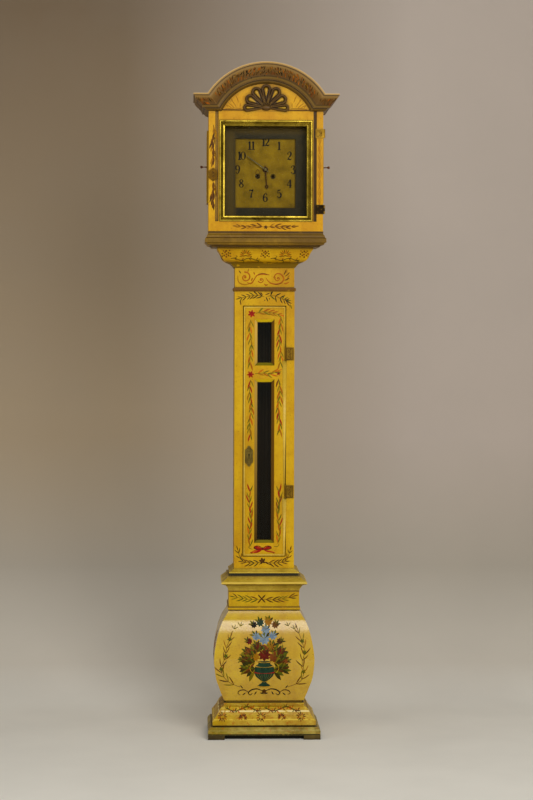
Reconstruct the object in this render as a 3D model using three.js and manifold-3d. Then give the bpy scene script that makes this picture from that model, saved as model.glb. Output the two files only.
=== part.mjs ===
// Tall case clock: a slim painted case with an arched hood, a glazed trunk door and a bombe base,
// and a small spring-driven striking movement with a short pendulum.
// Millimetres. +Z is up, the front faces -Y, and the origin is on the floor under the middle.
import * as THREE from "three";
import { mergeVertices } from "three/addons/utils/BufferGeometryUtils.js";
import Module from "manifold-3d";

// Gap between pieces that lie against each other, and how far a cutting tool runs past a face.
const seam = 0.3;
const overrun = 5;

// Trunk door and its two windows. The door grows with its windows, and the trunk with its door.
const windowWidth = 59.4;
const windowBevelWidth = 9;
const windowBevelDepth = 10;
const windowBevelEdge = 2;
const lowerWindowSill = 37;
const lowerWindowHeight = 481;
const windowBarHeight = 39;
const upperWindowHeight = 137;
const upperWindowHead = 37;
const paneThickness = 2.5;
const doorStileWidth = 31.6;
const trunkDoorThickness = 18;
const doorGap = 2.2;
const trunkDoorWidth = windowWidth + 2 * doorStileWidth;
const trunkDoorHeight =
  lowerWindowSill + lowerWindowHeight + windowBarHeight + upperWindowHeight + upperWindowHead;

// Front frame of the trunk, round its door.
const frameStileWidth = 24.5;
const frameBottomRail = 37.1;
const frameTopRail = 44.4;
const trunkFrameThickness = 18;

// The case is laid out round the trunk. A projection is how far a face stands out from the
// trunk's front and side faces, and every moulding runs round the front and both sides.
const trunkWidth = trunkDoorWidth + 2 * (doorGap + frameStileWidth);
const trunkDepth = 145;
const caseWall = 12;
const backBoardThickness = 12;

// Bezel of the hood door, with the rails and stiles round it that give the hood its size.
const bezelHalfWidth = 135.5;
const bezelHeight = 294;
const hoodStileWidth = 30.5;
const bezelBottomRail = 28.5;
const bezelTopRail = 25.5;

// Heights of the stages of the case, from the floor up.
const footHeight = 13;
const plinthBaseHeight = 22;
const plinthOgeeHeight = 71;
const bombeHeight = 260;
const baseNeckHeight = 55;
const waistHeight = 66.5;
const trunkHeight = frameBottomRail + trunkDoorHeight + frameTopRail;
const neckFriezeHeight = 68.5;
const throatHeight = 59.5;
const hoodBaseHeight = 45;
const hoodHeight = bezelBottomRail + bezelHeight + bezelTopRail;
const corniceHeight = 48;

// Reach of each stage's moulding beyond the trunk's faces.
const plinthBaseReach = 75;
const plinthOgeeReach = 62;
const bombeReach = 58;
const bombeWall = 14;
const baseNeckReach = 18.4;
const waistReach = 37;
const neckAstragalReach = 3.5;
const throatReach = 54;
const hoodReach = bezelHalfWidth + hoodStileWidth - trunkWidth / 2;
const hoodBaseOverhang = 9.4;
const hoodBaseReach = hoodReach + hoodBaseOverhang;
const corniceOverhang = 44.5;
const corniceReach = hoodReach + corniceOverhang;

// Outlines of the mouldings as [share of the reach, share of the height], from the bottom up.
const plinthBaseShares = [[1, 0], [1, 0.55], [0.97, 0.75], [0.92, 0.9], [0.9, 1]];
const plinthOgeeShares = [
  [0.93, 0], [0.93, 0.06], [1, 0.065], [1, 0.25], [0.96, 0.28], [0.865, 0.37], [0.787, 0.46],
  [0.729, 0.56], [0.671, 0.65], [0.584, 0.74], [0.468, 0.8], [0.468, 0.91], [0.38, 0.915], [0.38, 1],
];
const bombeShares = [
  [0.48, 0], [0.57, 0.05], [0.66, 0.1], [0.77, 0.17], [0.9, 0.26], [0.965, 0.36], [1, 0.45],
  [0.99, 0.51], [0.95, 0.59], [0.885, 0.67], [0.8, 0.755], [0.69, 0.83], [0.55, 0.9],
  [0.4, 0.95], [0.276, 1],
];
const bombeSteps = 22;
const baseNeckShares = [
  [0.82, 0], [0.82, 0.04], [0.95, 0.06], [1, 0.11], [0.96, 0.17], [0.88, 0.215], [0.82, 0.22],
  [0.82, 1],
];
const waistShares = [
  [0.405, 0], [0.42, 0.075], [0.46, 0.135], [0.55, 0.225], [0.65, 0.3], [0.8, 0.335],
  [0.95, 0.36], [1, 0.378], [1, 0.44], [0.887, 0.484], [0.735, 0.547], [0.603, 0.6],
  [0.546, 0.621], [0.546, 0.69], [0.32, 0.695], [0.32, 0.82], [0.395, 0.826], [0.395, 0.863],
  [0.22, 0.905], [0.1, 0.955], [0.02, 1],
];
const neckFriezeShares = [
  [0, 0], [0.7, 0.01], [1, 0.05], [1, 0.1], [0.7, 0.145], [-0.25, 0.15], [-0.25, 1],
];
const throatShares = [
  [0, 0], [0.04, 0.03], [0.1, 0.1], [0.21, 0.2], [0.44, 0.285], [0.47, 0.3], [0.6, 0.37],
  [0.69, 0.47], [0.74, 0.58], [0.8, 0.7], [0.88, 0.82], [0.95, 0.9], [0.95, 1],
];
const hoodBaseShares = [
  [0.79, 0], [0.8, 0.08], [0.93, 0.16], [0.94, 0.24], [1, 0.3], [1, 0.55], [0.96, 0.62],
  [0.94, 0.75], [0.9, 0.82], [0.9, 1],
];

// The cornice goes level along the sides and shoulders and rises in an arch between them.
// Its outline is [share of the overhang beyond the hood, share of its height, from the top].
const archRise = 91.5;
const archOuterRadius = 203;
const archWidth = 60;
const archSteps = 28;
const corniceShares = [
  [0, 0], [1, 0], [1, 0.1], [0.92, 0.11], [0.9, 0.22], [0.8, 0.34], [0.64, 0.47], [0.5, 0.6],
  [0.43, 0.72], [0.4, 0.82], [0.27, 0.825], [0.22, 0.9], [0.1, 0.97], [0, 1],
];

// Block feet.
const footWidth = 48;

// Hood walls and the depths of its door and bezel.
const hoodWall = 12;
const hoodDoorThickness = 22;
const bezelWidth = 17;
const bezelDepth = 14;
const bezelProud = 2.5;
const railGrooveWidth = 9.5;
const railGrooveDepth = 6;
const railGrooveInset = 2;
const roofThickness = 8;
const roofStep = 8;

// Section of the bezel as [share of its width, share of its depth], with its beads in front.
const bezelBeadShares = [[0, 0.5], [0.1, 1], [0.25, 1], [0.33, 0.3]];
const bezelSlopeShares = [[0.38, 0.1], [0.72, 0.55], [0.9, 0.6], [1, 0.75], [1, 1], [0, 1]];

// Dial, behind its dark board inside the hood.
const dialDepth = 55;
const dialCentreDrop = 166;
const dialThickness = 2;
const dialSightWidth = 176;
const dialSightHeight = 202;
const dialSightDrop = 11;
const dialMargin = 6;
const dialBoardThickness = 6;
const dialCentreHole = 6;

// Side doors of the hood with their turned knobs.
const sideDoorRise = 85;
const sideDoorHeight = 210;
const sideDoorWidth = 124;
const sideDoorThickness = 4.5;
const sideDoorLip = 9;
const sideDoorFrontMargin = 37;
const knobInset = 16;
const knobLength = 19;
const knobRadius = 4.2;

// Outline of a turned knob as [share of its radius, share of its length].
const knobShares = [
  [0, 0], [0.6, 0], [0.6, 0.08], [0.36, 0.16], [0.36, 0.55], [0.55, 0.6], [0.8, 0.7],
  [1, 0.82], [0.75, 0.96], [0, 1],
];

// Brass plates and hinges.
const leafThickness = 1.2;
const knuckleRadius = 2.6;
const hingePinRadius = 1.3;
const hoodHingeWidth = 22;
const hoodHingeHeight = 26;
const hoodHingeEndDistance = 64;
const hoodHingeReturn = 24;
const trunkHingeWidth = 23;
const trunkHingeHeight = 37;
const trunkHingeUpperDrop = 139;
const trunkHingeLowerRise = 188;
const escutcheonThickness = 1.2;
const hoodEscutcheonWidth = 25;
const hoodEscutcheonHeight = 38;
const hoodEscutcheonDrop = 184;
const trunkEscutcheonWidth = 24;
const trunkEscutcheonHeight = 61;
const trunkEscutcheonRise = 292;
const trunkEscutcheonInset = 16.5;
const keyholeRadius = 1.7;

// Right half of an escutcheon's outline as [share of half its width, share of half its height].
const escutcheonShares = [
  [0, -1], [0.35, -0.9], [0.55, -0.72], [0.95, -0.6], [1, -0.2], [0.9, 0], [1, 0.2],
  [0.95, 0.6], [0.55, 0.72], [0.35, 0.9], [0, 1],
];

// Lock on the back of the trunk door, with its sliding bolt.
const lockWidth = 24;
const lockHeight = 50;
const lockDepth = 10;
const lockInset = 6;
const boltLength = 18;
const boltHeight = 9;
const boltDepth = 4;
const boltFit = 0.3;

// Seat for the movement, carried by two cheeks inside the top of the trunk.
const cheekThickness = 12;
const cheekFoot = 60;
const cheekInset = 2;
const seatThickness = 12;
const seatFrontReach = 12;
const pendulumSlotWidth = 56;
const pendulumSlotClearance = 2.5;

// Movement between two brass plates, all placed from the dial's centre.
const plateThickness = 2.5;
const plateWidth = 104;
const plateBelowCentre = 63;
const plateAboveCentre = 62;
const plateSpacing = 45;
const motionRoom = 14;
const pillarRadius = 3;
const pillarInset = 7;
const windingSpread = 22.4;
const windingDrop = 19.6;
const windingHoleRadius = 4.5;
const arborRadius = 3;
const arborFit = 0.35;
const centreArborRadius = 2;
const barrelRadius = 18.5;
const barrelClearance = 7;
const barrelArborReach = 5;
const greatWheelTeeth = 48;
const greatWheelThickness = 3;
const centrePinionLeaves = 8;
const motionDistance = 30;
const cannonTeeth = 10;
const minuteWheelTeeth = 30;
const minutePinionTeeth = 8;
const hourWheelTeeth = 32;
const motionWheelThickness = 2.5;
const motionWheelGap = 1.2;
const studRadius = 1.8;
const hourPipeRadius = 4.6;
const escapeRise = 38;
const escapeTeeth = 24;
const escapeModule = 0.95;
const escapeThickness = 1.6;
const escapeSetback = 10;
const anchorRise = 54;
const anchorArmLength = 15;
const anchorArmDrop = 7;
const anchorArmHeight = 4;
const fineArborRadius = 1.5;
const studLength = 12;

// Number of flat sides that stand for a round, and sides of a winding square.
const roundSides = 12;
const squareSides = 4;

// Shape of a gear tooth, as shares of the module and of the tooth pitch.
const addendumShare = 0.55;
const dedendumShare = 0.85;
const tipShare = 0.26;
const rootShare = 0.5;

// Hands.
const handThickness = 1.2;
const hourHandGap = 4;
const minuteHandGap = 8;
const minuteHandLength = 73;
const minuteHandWidth = 4.4;
const hourHandLength = 58.5;
const hourHandWidth = 3.6;
const hourRingRadius = 5;
const hourRingHole = 2.6;
const hourRingCentre = 50;
const handTail = 12;
const hourBossRadius = 6.5;
const hourHandBore = 3.6;
const minuteBossRadius = 5;
const handCapRadius = 3.6;
const handCapHeight = 3;
const minutesShown = 51;
const hoursShown = 5;

// Right half of a hand's blade as [share of half its width, share of its length].
const bladeShares = [[1, 0], [0.65, 0.8], [0, 1]];
const tailShare = 0.5;

// Pendulum and its crutch, behind the movement.
const pendulumLength = 270;
const pendulumSetback = 14;
const rodWidth = 4;
const rodThickness = 2;
const bobRadius = 28;
const bobHalfThickness = 7;
const bobShares = [[0, -1], [0.6, -0.75], [1, -0.2], [1, 0.2], [0.6, 0.75], [0, 1]];
const ratingNutRadius = 5;
const ratingNutHeight = 5;
const crutchLength = 55;
const crutchWidth = 3;
const crutchSetback = 5;
const crutchForkGap = 0.4;
const cockWidth = 18;
const cockHeight = 6;

// Hammer and the gong rods that it strikes.
const hammerAcross = 30;
const hammerRise = 45;
const hammerArmX = 28;
const hammerArmZ = 28;
const hammerArmWidth = 4;
const hammerSetback = 36;
const hammerHeadRadius = 5;
const hammerHeadLength = 12;
const hammerRestGap = 2;
const gongRodRadius = 2.5;
const gongRodSpacing = 12;
const gongRodLength = 150;
const gongBlockHeight = 15;
const gongBlockMargin = 4;
const gongTopRise = 95;

// Carved shell on the arch board: a fan of lobes, each side like the other.
const shellLengthShares = [0.96, 0.98, 0.93, 0.93];
const shellAnglesDegrees = [0, 32, 63, 90];
const shellReach = 70;
const shellLobeWidth = 24;
const shellDepth = 9;
const shellRise = 8;
const shellLobeSides = 10;
const shellLobeRings = 6;

// Levels and faces that follow from the sizes above.
const plinthBaseZ = footHeight;
const plinthOgeeZ = plinthBaseZ + plinthBaseHeight;
const bombeZ = plinthOgeeZ + plinthOgeeHeight;
const baseNeckZ = bombeZ + bombeHeight;
const waistZ = baseNeckZ + baseNeckHeight;
const trunkZ = waistZ + waistHeight;
const neckFriezeZ = trunkZ + trunkHeight;
const throatZ = neckFriezeZ + neckFriezeHeight;
const hoodBaseZ = throatZ + throatHeight;
const hoodZ = hoodBaseZ + hoodBaseHeight;
const corniceZ = hoodZ + hoodHeight;
const shoulderZ = corniceZ + corniceHeight;
const archCentreZ = shoulderZ + archRise - archOuterRadius;
const backY = (trunkDepth + corniceReach) / 2;
const frontY = (reach) => backY - trunkDepth - reach;
const halfWidth = (reach) => trunkWidth / 2 + reach;
const hoodFrontY = frontY(hoodReach);
const hoodHalf = halfWidth(hoodReach);
const hoodInner = hoodHalf - hoodWall;
const hoodSideFrontY = hoodFrontY + hoodDoorThickness + seam;
const trunkFrontY = frontY(0);
const backFaceY = backY - backBoardThickness;

// Materials, as colour, roughness and metalness.
const paint = (colour, roughness) =>
  new THREE.MeshStandardMaterial({ color: colour, roughness, metalness: 0 });
const metal = (colour, roughness) =>
  new THREE.MeshStandardMaterial({ color: colour, roughness, metalness: 1 });
const yellowPaint = paint(0xc9962b, 0.4);
const ochrePaint = paint(0x8f6a1e, 0.45);
const brownPaint = paint(0x4a3318, 0.5);
const darkPaint = paint(0x16120d, 0.6);
const bareWood = paint(0x7a5b3a, 0.75);
const brass = metal(0xb08a3c, 0.35);
const oldBrass = metal(0x7d6a3a, 0.5);
const steel = metal(0x77777a, 0.35);
const darkSteel = metal(0x2b2b2f, 0.45);
const clearGlass = new THREE.MeshStandardMaterial({
  color: 0xdfe6e6, roughness: 0.05, metalness: 0, transparent: true, opacity: 0.3,
});

const clock = new THREE.Group();

function addPiece(name, geometry, material, x = 0, y = 0, z = 0) {
  const mesh = new THREE.Mesh(geometry, material);
  mesh.name = name;
  mesh.position.set(x, y, z);
  clock.add(mesh);
  return mesh;
}

// Joins and cuts between closed geometries.
const wasm = await Module();
wasm.setup();

function toSolid(geometry) {
  const bare = new THREE.BufferGeometry();
  const source = geometry.index ? geometry.toNonIndexed() : geometry;
  bare.setAttribute("position", source.getAttribute("position").clone());
  const merged = mergeVertices(bare, 1e-4);
  return new wasm.Manifold(new wasm.Mesh({
    numProp: 3,
    vertProperties: merged.attributes.position.array,
    triVerts: new Uint32Array(merged.index.array),
  }));
}

function toGeometry(solid) {
  const mesh = solid.getMesh();
  const geometry = new THREE.BufferGeometry();
  geometry.setAttribute("position", new THREE.BufferAttribute(mesh.vertProperties, 3));
  geometry.setIndex(new THREE.BufferAttribute(mesh.triVerts, 1));
  geometry.computeVertexNormals();
  return geometry;
}

const join = (...parts) => toGeometry(parts.map(toSolid).reduce((whole, part) => whole.add(part)));
const cut = (body, ...tools) =>
  toGeometry(tools.map(toSolid).reduce((rest, tool) => rest.subtract(tool), toSolid(body)));

// A box from its lowest to its highest corner.
function boxBetween([x0, y0, z0], [x1, y1, z1]) {
  const box = new THREE.BoxGeometry(x1 - x0, y1 - y0, z1 - z0);
  return box.translate((x0 + x1) / 2, (y0 + y1) / 2, (z0 + z1) / 2);
}

// A flat board whose outline is drawn in X and Z, from y = front to y = back.
function board(shape, front, back) {
  const geometry = new THREE.ExtrudeGeometry(shape, {
    depth: back - front, bevelEnabled: false, curveSegments: roundSides,
  });
  return geometry.rotateX(Math.PI / 2).translate(0, back, 0);
}

function rectangle(x0, z0, x1, z1, Kind = THREE.Shape) {
  const outline = new Kind();
  outline.moveTo(x0, z0);
  outline.lineTo(x1, z0);
  outline.lineTo(x1, z1);
  outline.lineTo(x0, z1);
  outline.closePath();
  return outline;
}

function polygon(points, Kind = THREE.Shape) {
  return new Kind(points.map(([x, z]) => new THREE.Vector2(x, z)));
}

function circle(x, z, radius, Kind = THREE.Path) {
  const points = Array.from({ length: roundSides }, (_, i) => {
    const angle = (2 * Math.PI * i) / roundSides;
    return [x + radius * Math.cos(angle), z + radius * Math.sin(angle)];
  });
  return polygon(points, Kind);
}

// A round bar along Y, from y = front to y = back.
function barAlongY(x, z, radius, front, back, sides = roundSides) {
  const bar = new THREE.CylinderGeometry(radius, radius, back - front, sides);
  return bar.translate(x, (front + back) / 2, z);
}

// Sweeps a closed outline through stations. place(point, k) puts an outline point at station k.
function sweep(outline, place, stations, closed = false) {
  const flat = outline.map(([u, v]) => new THREE.Vector2(u, v));
  if (THREE.ShapeUtils.isClockWise(flat)) flat.reverse();
  const rows = Array.from({ length: stations }, (_, k) => flat.map(({ x, y }) => place([x, y], k)));
  const n = flat.length;
  const index = [];
  const spans = closed ? stations : stations - 1;
  for (let k = 0; k < spans; k += 1) {
    const here = k * n;
    const next = ((k + 1) % stations) * n;
    for (let i = 0; i < n; i += 1) {
      const j = (i + 1) % n;
      index.push(here + i, here + j, next + j, here + i, next + j, next + i);
    }
  }
  if (!closed) {
    const end = (stations - 1) * n;
    for (const [a, b, c] of THREE.ShapeUtils.triangulateShape(flat, [])) {
      index.push(a, c, b, a + end, b + end, c + end);
    }
  }
  const geometry = new THREE.BufferGeometry();
  geometry.setAttribute("position", new THREE.Float32BufferAttribute(rows.flat(2), 3));
  geometry.setIndex(index);
  return facingOut(geometry);
}

// Turns every face round where the surface encloses a negative volume.
function facingOut(geometry) {
  const at = geometry.getAttribute("position");
  const order = geometry.index.array;
  const [a, b, c] = [new THREE.Vector3(), new THREE.Vector3(), new THREE.Vector3()];
  let volume = 0;
  for (let i = 0; i < order.length; i += 3) {
    a.fromBufferAttribute(at, order[i]);
    b.fromBufferAttribute(at, order[i + 1]);
    c.fromBufferAttribute(at, order[i + 2]);
    volume += a.dot(b.cross(c));
  }
  if (volume < 0) order.reverse();
  geometry.computeVertexNormals();
  return geometry;
}

// A moulding round the front and both sides with mitred corners. Outline points are
// [projection, height].
function wrappedMoulding(outline) {
  const corner = ([reach, z], k) => {
    const x = (k < 2 ? -1 : 1) * halfWidth(reach);
    return [x, k === 0 || k === 3 ? backY : frontY(reach), z];
  };
  return sweep(outline, corner, 4);
}

// A moulding's outline with its inner wall, less the seam to the stage above.
function mouldingOutline(shares, reach, height, inner) {
  const outer = shares.map(([out, up]) => [out * reach, up * (height - seam)]);
  return [[inner, 0], ...outer, [inner, height - seam]];
}

// A moulding round a rectangle, for windows and bezels. Outline points are [inset, y].
function rectangularFrame(outline, halfX, halfZ) {
  const corner = ([inset, y], k) => {
    const x = (k === 0 || k === 3 ? -1 : 1) * (halfX - inset);
    return [x, y, (k < 2 ? -1 : 1) * (halfZ - inset)];
  };
  return sweep(outline, corner, 4, true);
}

// Plinth: four block feet, a base moulding, and a painted ogee with a top fillet.
function makePlinth() {
  const footX = halfWidth(plinthBaseReach) - footWidth / 2;
  const rows = { front: frontY(plinthBaseReach) + footWidth / 2, back: backY - footWidth / 2 };
  for (const [row, y] of Object.entries(rows)) {
    for (const [side, x] of [["left", -footX], ["right", footX]]) {
      addPiece(`foot_${row}_${side}`,
        new THREE.BoxGeometry(footWidth, footWidth, footHeight - seam), darkPaint,
        x, y, (footHeight - seam) / 2);
    }
  }
  const outline = mouldingOutline(plinthBaseShares, plinthBaseReach, plinthBaseHeight, -caseWall);
  addPiece("plinth_base_moulding", wrappedMoulding(outline), ochrePaint, 0, 0, plinthBaseZ);
  const ogee = mouldingOutline(plinthOgeeShares, plinthOgeeReach, plinthOgeeHeight, -caseWall);
  addPiece("plinth_ogee_moulding", wrappedMoulding(ogee), yellowPaint, 0, 0, plinthOgeeZ);
}

// Smooth bombe outline as [projection, height], each point offset outwards by grow.
function bombeOutline(grow, height) {
  const curve = new THREE.SplineCurve(
    bombeShares.map(([out, up]) => new THREE.Vector2(out * bombeReach + grow, up * height)));
  return curve.getPoints(bombeSteps).map((point) => [point.x, point.y]);
}

function makeBase() {
  const height = bombeHeight - seam;
  const shell = [...bombeOutline(0, height), ...bombeOutline(-bombeWall, height).reverse()];
  addPiece("bombe_base_shell", wrappedMoulding(shell), yellowPaint, 0, 0, bombeZ);
  const neck = mouldingOutline(baseNeckShares, baseNeckReach, baseNeckHeight, -caseWall);
  addPiece("base_neck_frieze", wrappedMoulding(neck), yellowPaint, 0, 0, baseNeckZ);
  const waist = mouldingOutline(waistShares, waistReach, waistHeight, -caseWall);
  addPiece("waist_moulding", wrappedMoulding(waist), ochrePaint, 0, 0, waistZ);
}

const doorHalf = trunkDoorWidth / 2;
const doorBottomZ = trunkZ + frameBottomRail;
const doorTopZ = doorBottomZ + trunkDoorHeight;

function makeTrunk() {
  const half = halfWidth(0);
  const frame = rectangle(-half, trunkZ, half, neckFriezeZ - seam);
  frame.holes.push(rectangle(
    -doorHalf - doorGap, doorBottomZ - doorGap, doorHalf + doorGap, doorTopZ + doorGap, THREE.Path));
  const frameBackY = trunkFrontY + trunkFrameThickness;
  addPiece("trunk_front_frame", board(frame, trunkFrontY, frameBackY), yellowPaint);
  for (const [name, x0] of [["trunk_left_side", -half], ["trunk_right_side", half - caseWall]]) {
    addPiece(name,
      boxBetween([x0, frameBackY + seam, trunkZ], [x0 + caseWall, backY, neckFriezeZ - seam]),
      yellowPaint);
  }
  const frieze = mouldingOutline(neckFriezeShares, neckAstragalReach, neckFriezeHeight, -caseWall);
  addPiece("neck_frieze", wrappedMoulding(frieze), yellowPaint, 0, 0, neckFriezeZ);
  const throat = mouldingOutline(throatShares, throatReach, throatHeight, -caseWall);
  addPiece("throat_moulding", wrappedMoulding(throat), yellowPaint, 0, 0, throatZ);
  const hoodBase = mouldingOutline(hoodBaseShares, hoodBaseReach, hoodBaseHeight, -caseWall);
  addPiece("hood_base_moulding", wrappedMoulding(hoodBase), ochrePaint, 0, 0, hoodBaseZ);
}

// A plate drawn in at its ends, with a round keyhole.
function escutcheon(width, height) {
  const right = escutcheonShares.map(([u, v]) => [(u * width) / 2, (v * height) / 2]);
  const left = right.slice(1, -1).map(([x, z]) => [-x, z]).reverse();
  const plate = polygon([...right, ...left]);
  plate.holes.push(circle(0, 0, keyholeRadius));
  return board(plate, -escutcheonThickness - seam, -seam);
}

const windowCentres = {
  lower: doorBottomZ + lowerWindowSill + lowerWindowHeight / 2,
  upper: doorBottomZ + lowerWindowSill + lowerWindowHeight + windowBarHeight + upperWindowHeight / 2,
};

function makeTrunkDoor() {
  const half = windowWidth / 2;
  const heights = { lower: lowerWindowHeight, upper: upperWindowHeight };
  const slab = rectangle(-doorHalf, doorBottomZ, doorHalf, doorTopZ);
  for (const [place, centre] of Object.entries(windowCentres)) {
    const tall = heights[place] / 2;
    slab.holes.push(rectangle(-half, centre - tall, half, centre + tall, THREE.Path));
  }
  const backOfDoor = trunkFrontY + trunkDoorThickness;
  const bevel = [
    [-overrun, windowBevelEdge], [0, 0], [windowBevelWidth, windowBevelDepth - windowBevelEdge],
    [windowBevelWidth, windowBevelDepth], [-overrun, windowBevelDepth],
  ];
  const bevels = Object.entries(windowCentres).map(([place, centre]) =>
    rectangularFrame(bevel, half, heights[place] / 2).translate(0, trunkFrontY, centre));
  addPiece("trunk_door_frame", join(board(slab, trunkFrontY, backOfDoor), ...bevels), yellowPaint);
  for (const [place, centre] of Object.entries(windowCentres)) {
    const reach = [half - seam, paneThickness, heights[place] / 2 - seam];
    addPiece(`${place}_window_glass`,
      boxBetween([-reach[0], 0, -reach[2]], [reach[0], reach[1], reach[2]]),
      clearGlass, 0, trunkFrontY + windowBevelDepth + seam, centre);
  }
  const keyX = -doorHalf + trunkEscutcheonInset;
  const keyZ = doorBottomZ + trunkEscutcheonRise;
  addPiece("trunk_door_escutcheon", escutcheon(trunkEscutcheonWidth, trunkEscutcheonHeight),
    oldBrass, keyX, trunkFrontY, keyZ);

  const lockX = -doorHalf + lockInset;
  const lockY = backOfDoor + seam;
  const channel = boxBetween(
    [lockX - overrun, (lockDepth - boltDepth) / 2 - boltFit, -boltHeight / 2 - boltFit],
    [lockX + boltLength + boltFit, (lockDepth + boltDepth) / 2 + boltFit, boltHeight / 2 + boltFit]);
  const lockBox = boxBetween(
    [lockX, 0, -lockHeight / 2], [lockX + lockWidth, lockDepth, lockHeight / 2]);
  addPiece("trunk_door_lock", cut(lockBox, channel), steel, 0, lockY, keyZ);
  addPiece("trunk_lock_bolt",
    boxBetween([lockX, (lockDepth - boltDepth) / 2, -boltHeight / 2],
      [lockX + boltLength, (lockDepth + boltDepth) / 2, boltHeight / 2]),
    brass, 0, lockY, keyZ);
}

// Trunk hinges: a plate on the frame with its knuckle over the door's right edge.
function makeTrunkHinges() {
  const axisX = doorHalf + doorGap / 2;
  const places = {
    trunk_hinge_upper: doorTopZ - trunkHingeUpperDrop,
    trunk_hinge_lower: doorBottomZ + trunkHingeLowerRise,
  };
  for (const [name, z] of Object.entries(places)) {
    const half = trunkHingeHeight / 2;
    const leaf = boxBetween([axisX, -seam - leafThickness, -half],
      [axisX + trunkHingeWidth, -seam, half]);
    const knuckle = new THREE.CylinderGeometry(
      knuckleRadius, knuckleRadius, trunkHingeHeight, roundSides);
    knuckle.rotateX(Math.PI / 2).translate(axisX, -seam - knuckleRadius, 0);
    addPiece(name, join(leaf, knuckle), oldBrass, 0, trunkFrontY, z);
  }
}

const sideDoorCentreZ = hoodZ + sideDoorRise + sideDoorHeight / 2;
const sideDoorFrontY = hoodSideFrontY + sideDoorFrontMargin;
const tympanumBackY = hoodFrontY + hoodDoorThickness;
const roofOuter = archOuterRadius - roofStep;
const roofInner = roofOuter - roofThickness;

// Points along the arch from its right foot at height z to its left foot.
function archPoints(radius, z) {
  const from = Math.asin((z - archCentreZ) / radius);
  return Array.from({ length: archSteps + 1 }, (_, i) => {
    const angle = from + ((Math.PI - 2 * from) * i) / archSteps;
    return [radius * Math.cos(angle), archCentreZ + radius * Math.sin(angle)];
  });
}

// Hood: two sides with a doorway each, the board under the arch and the curved roof.
function makeHood() {
  const lowZ = sideDoorCentreZ - sideDoorHeight / 2 + sideDoorLip;
  const highZ = sideDoorCentreZ + sideDoorHeight / 2 - sideDoorLip;
  const doorway = boxBetween([-hoodHalf - overrun, sideDoorFrontY + sideDoorLip, lowZ],
    [hoodHalf + overrun, sideDoorFrontY + sideDoorWidth - sideDoorLip, highZ]);
  for (const [name, x0] of [["hood_left_side", -hoodHalf], ["hood_right_side", hoodInner]]) {
    const wall = boxBetween([x0, hoodSideFrontY, hoodZ], [x0 + hoodWall, backY, shoulderZ - seam]);
    addPiece(name, cut(wall, doorway), yellowPaint);
  }
  const topOfSides = shoulderZ - seam;
  const tympanum = polygon([[-hoodHalf, corniceZ + seam], [hoodHalf, corniceZ + seam],
    [hoodHalf, topOfSides], ...archPoints(roofOuter - seam, topOfSides), [-hoodHalf, topOfSides]]);
  addPiece("tympanum_board", board(tympanum, hoodFrontY, tympanumBackY), yellowPaint);
  const roof = polygon(
    [...archPoints(roofOuter, shoulderZ), ...archPoints(roofInner, shoulderZ).reverse()]);
  addPiece("hood_roof", board(roof, tympanumBackY + seam, backY), brownPaint);
}

// The back is one board from the base to the arch, sawn to follow the case.
function makeBack() {
  const narrow = halfWidth(-caseWall) - seam;
  const wide = hoodInner - seam;
  const topOfSides = shoulderZ - seam;
  const base = bombeOutline(-bombeWall - 2 * seam, bombeHeight - seam)
    .map(([reach, up]) => [halfWidth(reach), bombeZ + up]);
  const sides = [
    ...base, [narrow, baseNeckZ - seam], [narrow, hoodZ], [wide, hoodZ], [wide, topOfSides],
  ];
  const mirrored = sides.map(([x, z]) => [-x, z]).reverse();
  const outline = polygon([...sides, ...archPoints(roofInner - seam, topOfSides), ...mirrored]);
  addPiece("back_board", board(outline, backFaceY, backY), bareWood);
}

// The cornice goes level round the sides and shoulders and rises in an arch at the front.
function makeCornice() {
  const wall = hoodReach + seam;
  const outline = corniceShares.map(([out, down]) => [wall + out * (corniceReach - wall), down]);
  const last = archSteps + 4;
  const place = ([reach, down], k) => {
    const z = shoulderZ - down * (corniceHeight - seam);
    const side = k < 2 ? -1 : 1;
    if (k === 0 || k === last) return [side * halfWidth(reach), backY, z];
    if (k === 1 || k === last - 1) return [side * halfWidth(reach), frontY(reach), z];
    const [x, archZ] = archPoints(archOuterRadius - down * archWidth, z)[k - 2];
    return [-x, frontY(reach), archZ];
  };
  addPiece("hood_cornice", sweep(outline, place, last + 1), brownPaint);
}

// Carved palmette: a fan of seven rounded lobes cut flat at the back.
function makeShell() {
  const lobes = shellAnglesDegrees.flatMap((degrees, i) => {
    const sides = degrees === 0 ? [1] : [-1, 1];
    return sides.map((side) => {
      const length = shellLengthShares[i] * shellReach;
      const lobe = new THREE.SphereGeometry(1, shellLobeSides, shellLobeRings);
      lobe.scale(shellLobeWidth / 2, shellDepth, length / 2).translate(0, 0, length / 2);
      return lobe.rotateY(side * THREE.MathUtils.degToRad(degrees));
    });
  });
  const behind = boxBetween([-2 * shellReach, 0, -2 * shellReach],
    [2 * shellReach, 2 * shellDepth, 2 * shellReach]);
  const below = boxBetween([-2 * shellReach, -2 * shellDepth, -2 * shellReach],
    [2 * shellReach, 2 * shellDepth, -shellRise]);
  addPiece("shell_carving", cut(join(...lobes), behind, below), brownPaint,
    0, hoodFrontY - seam, corniceZ + shellRise + 2 * seam);
}

const bezelCentreZ = hoodZ + bezelBottomRail + bezelHeight / 2;

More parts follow.
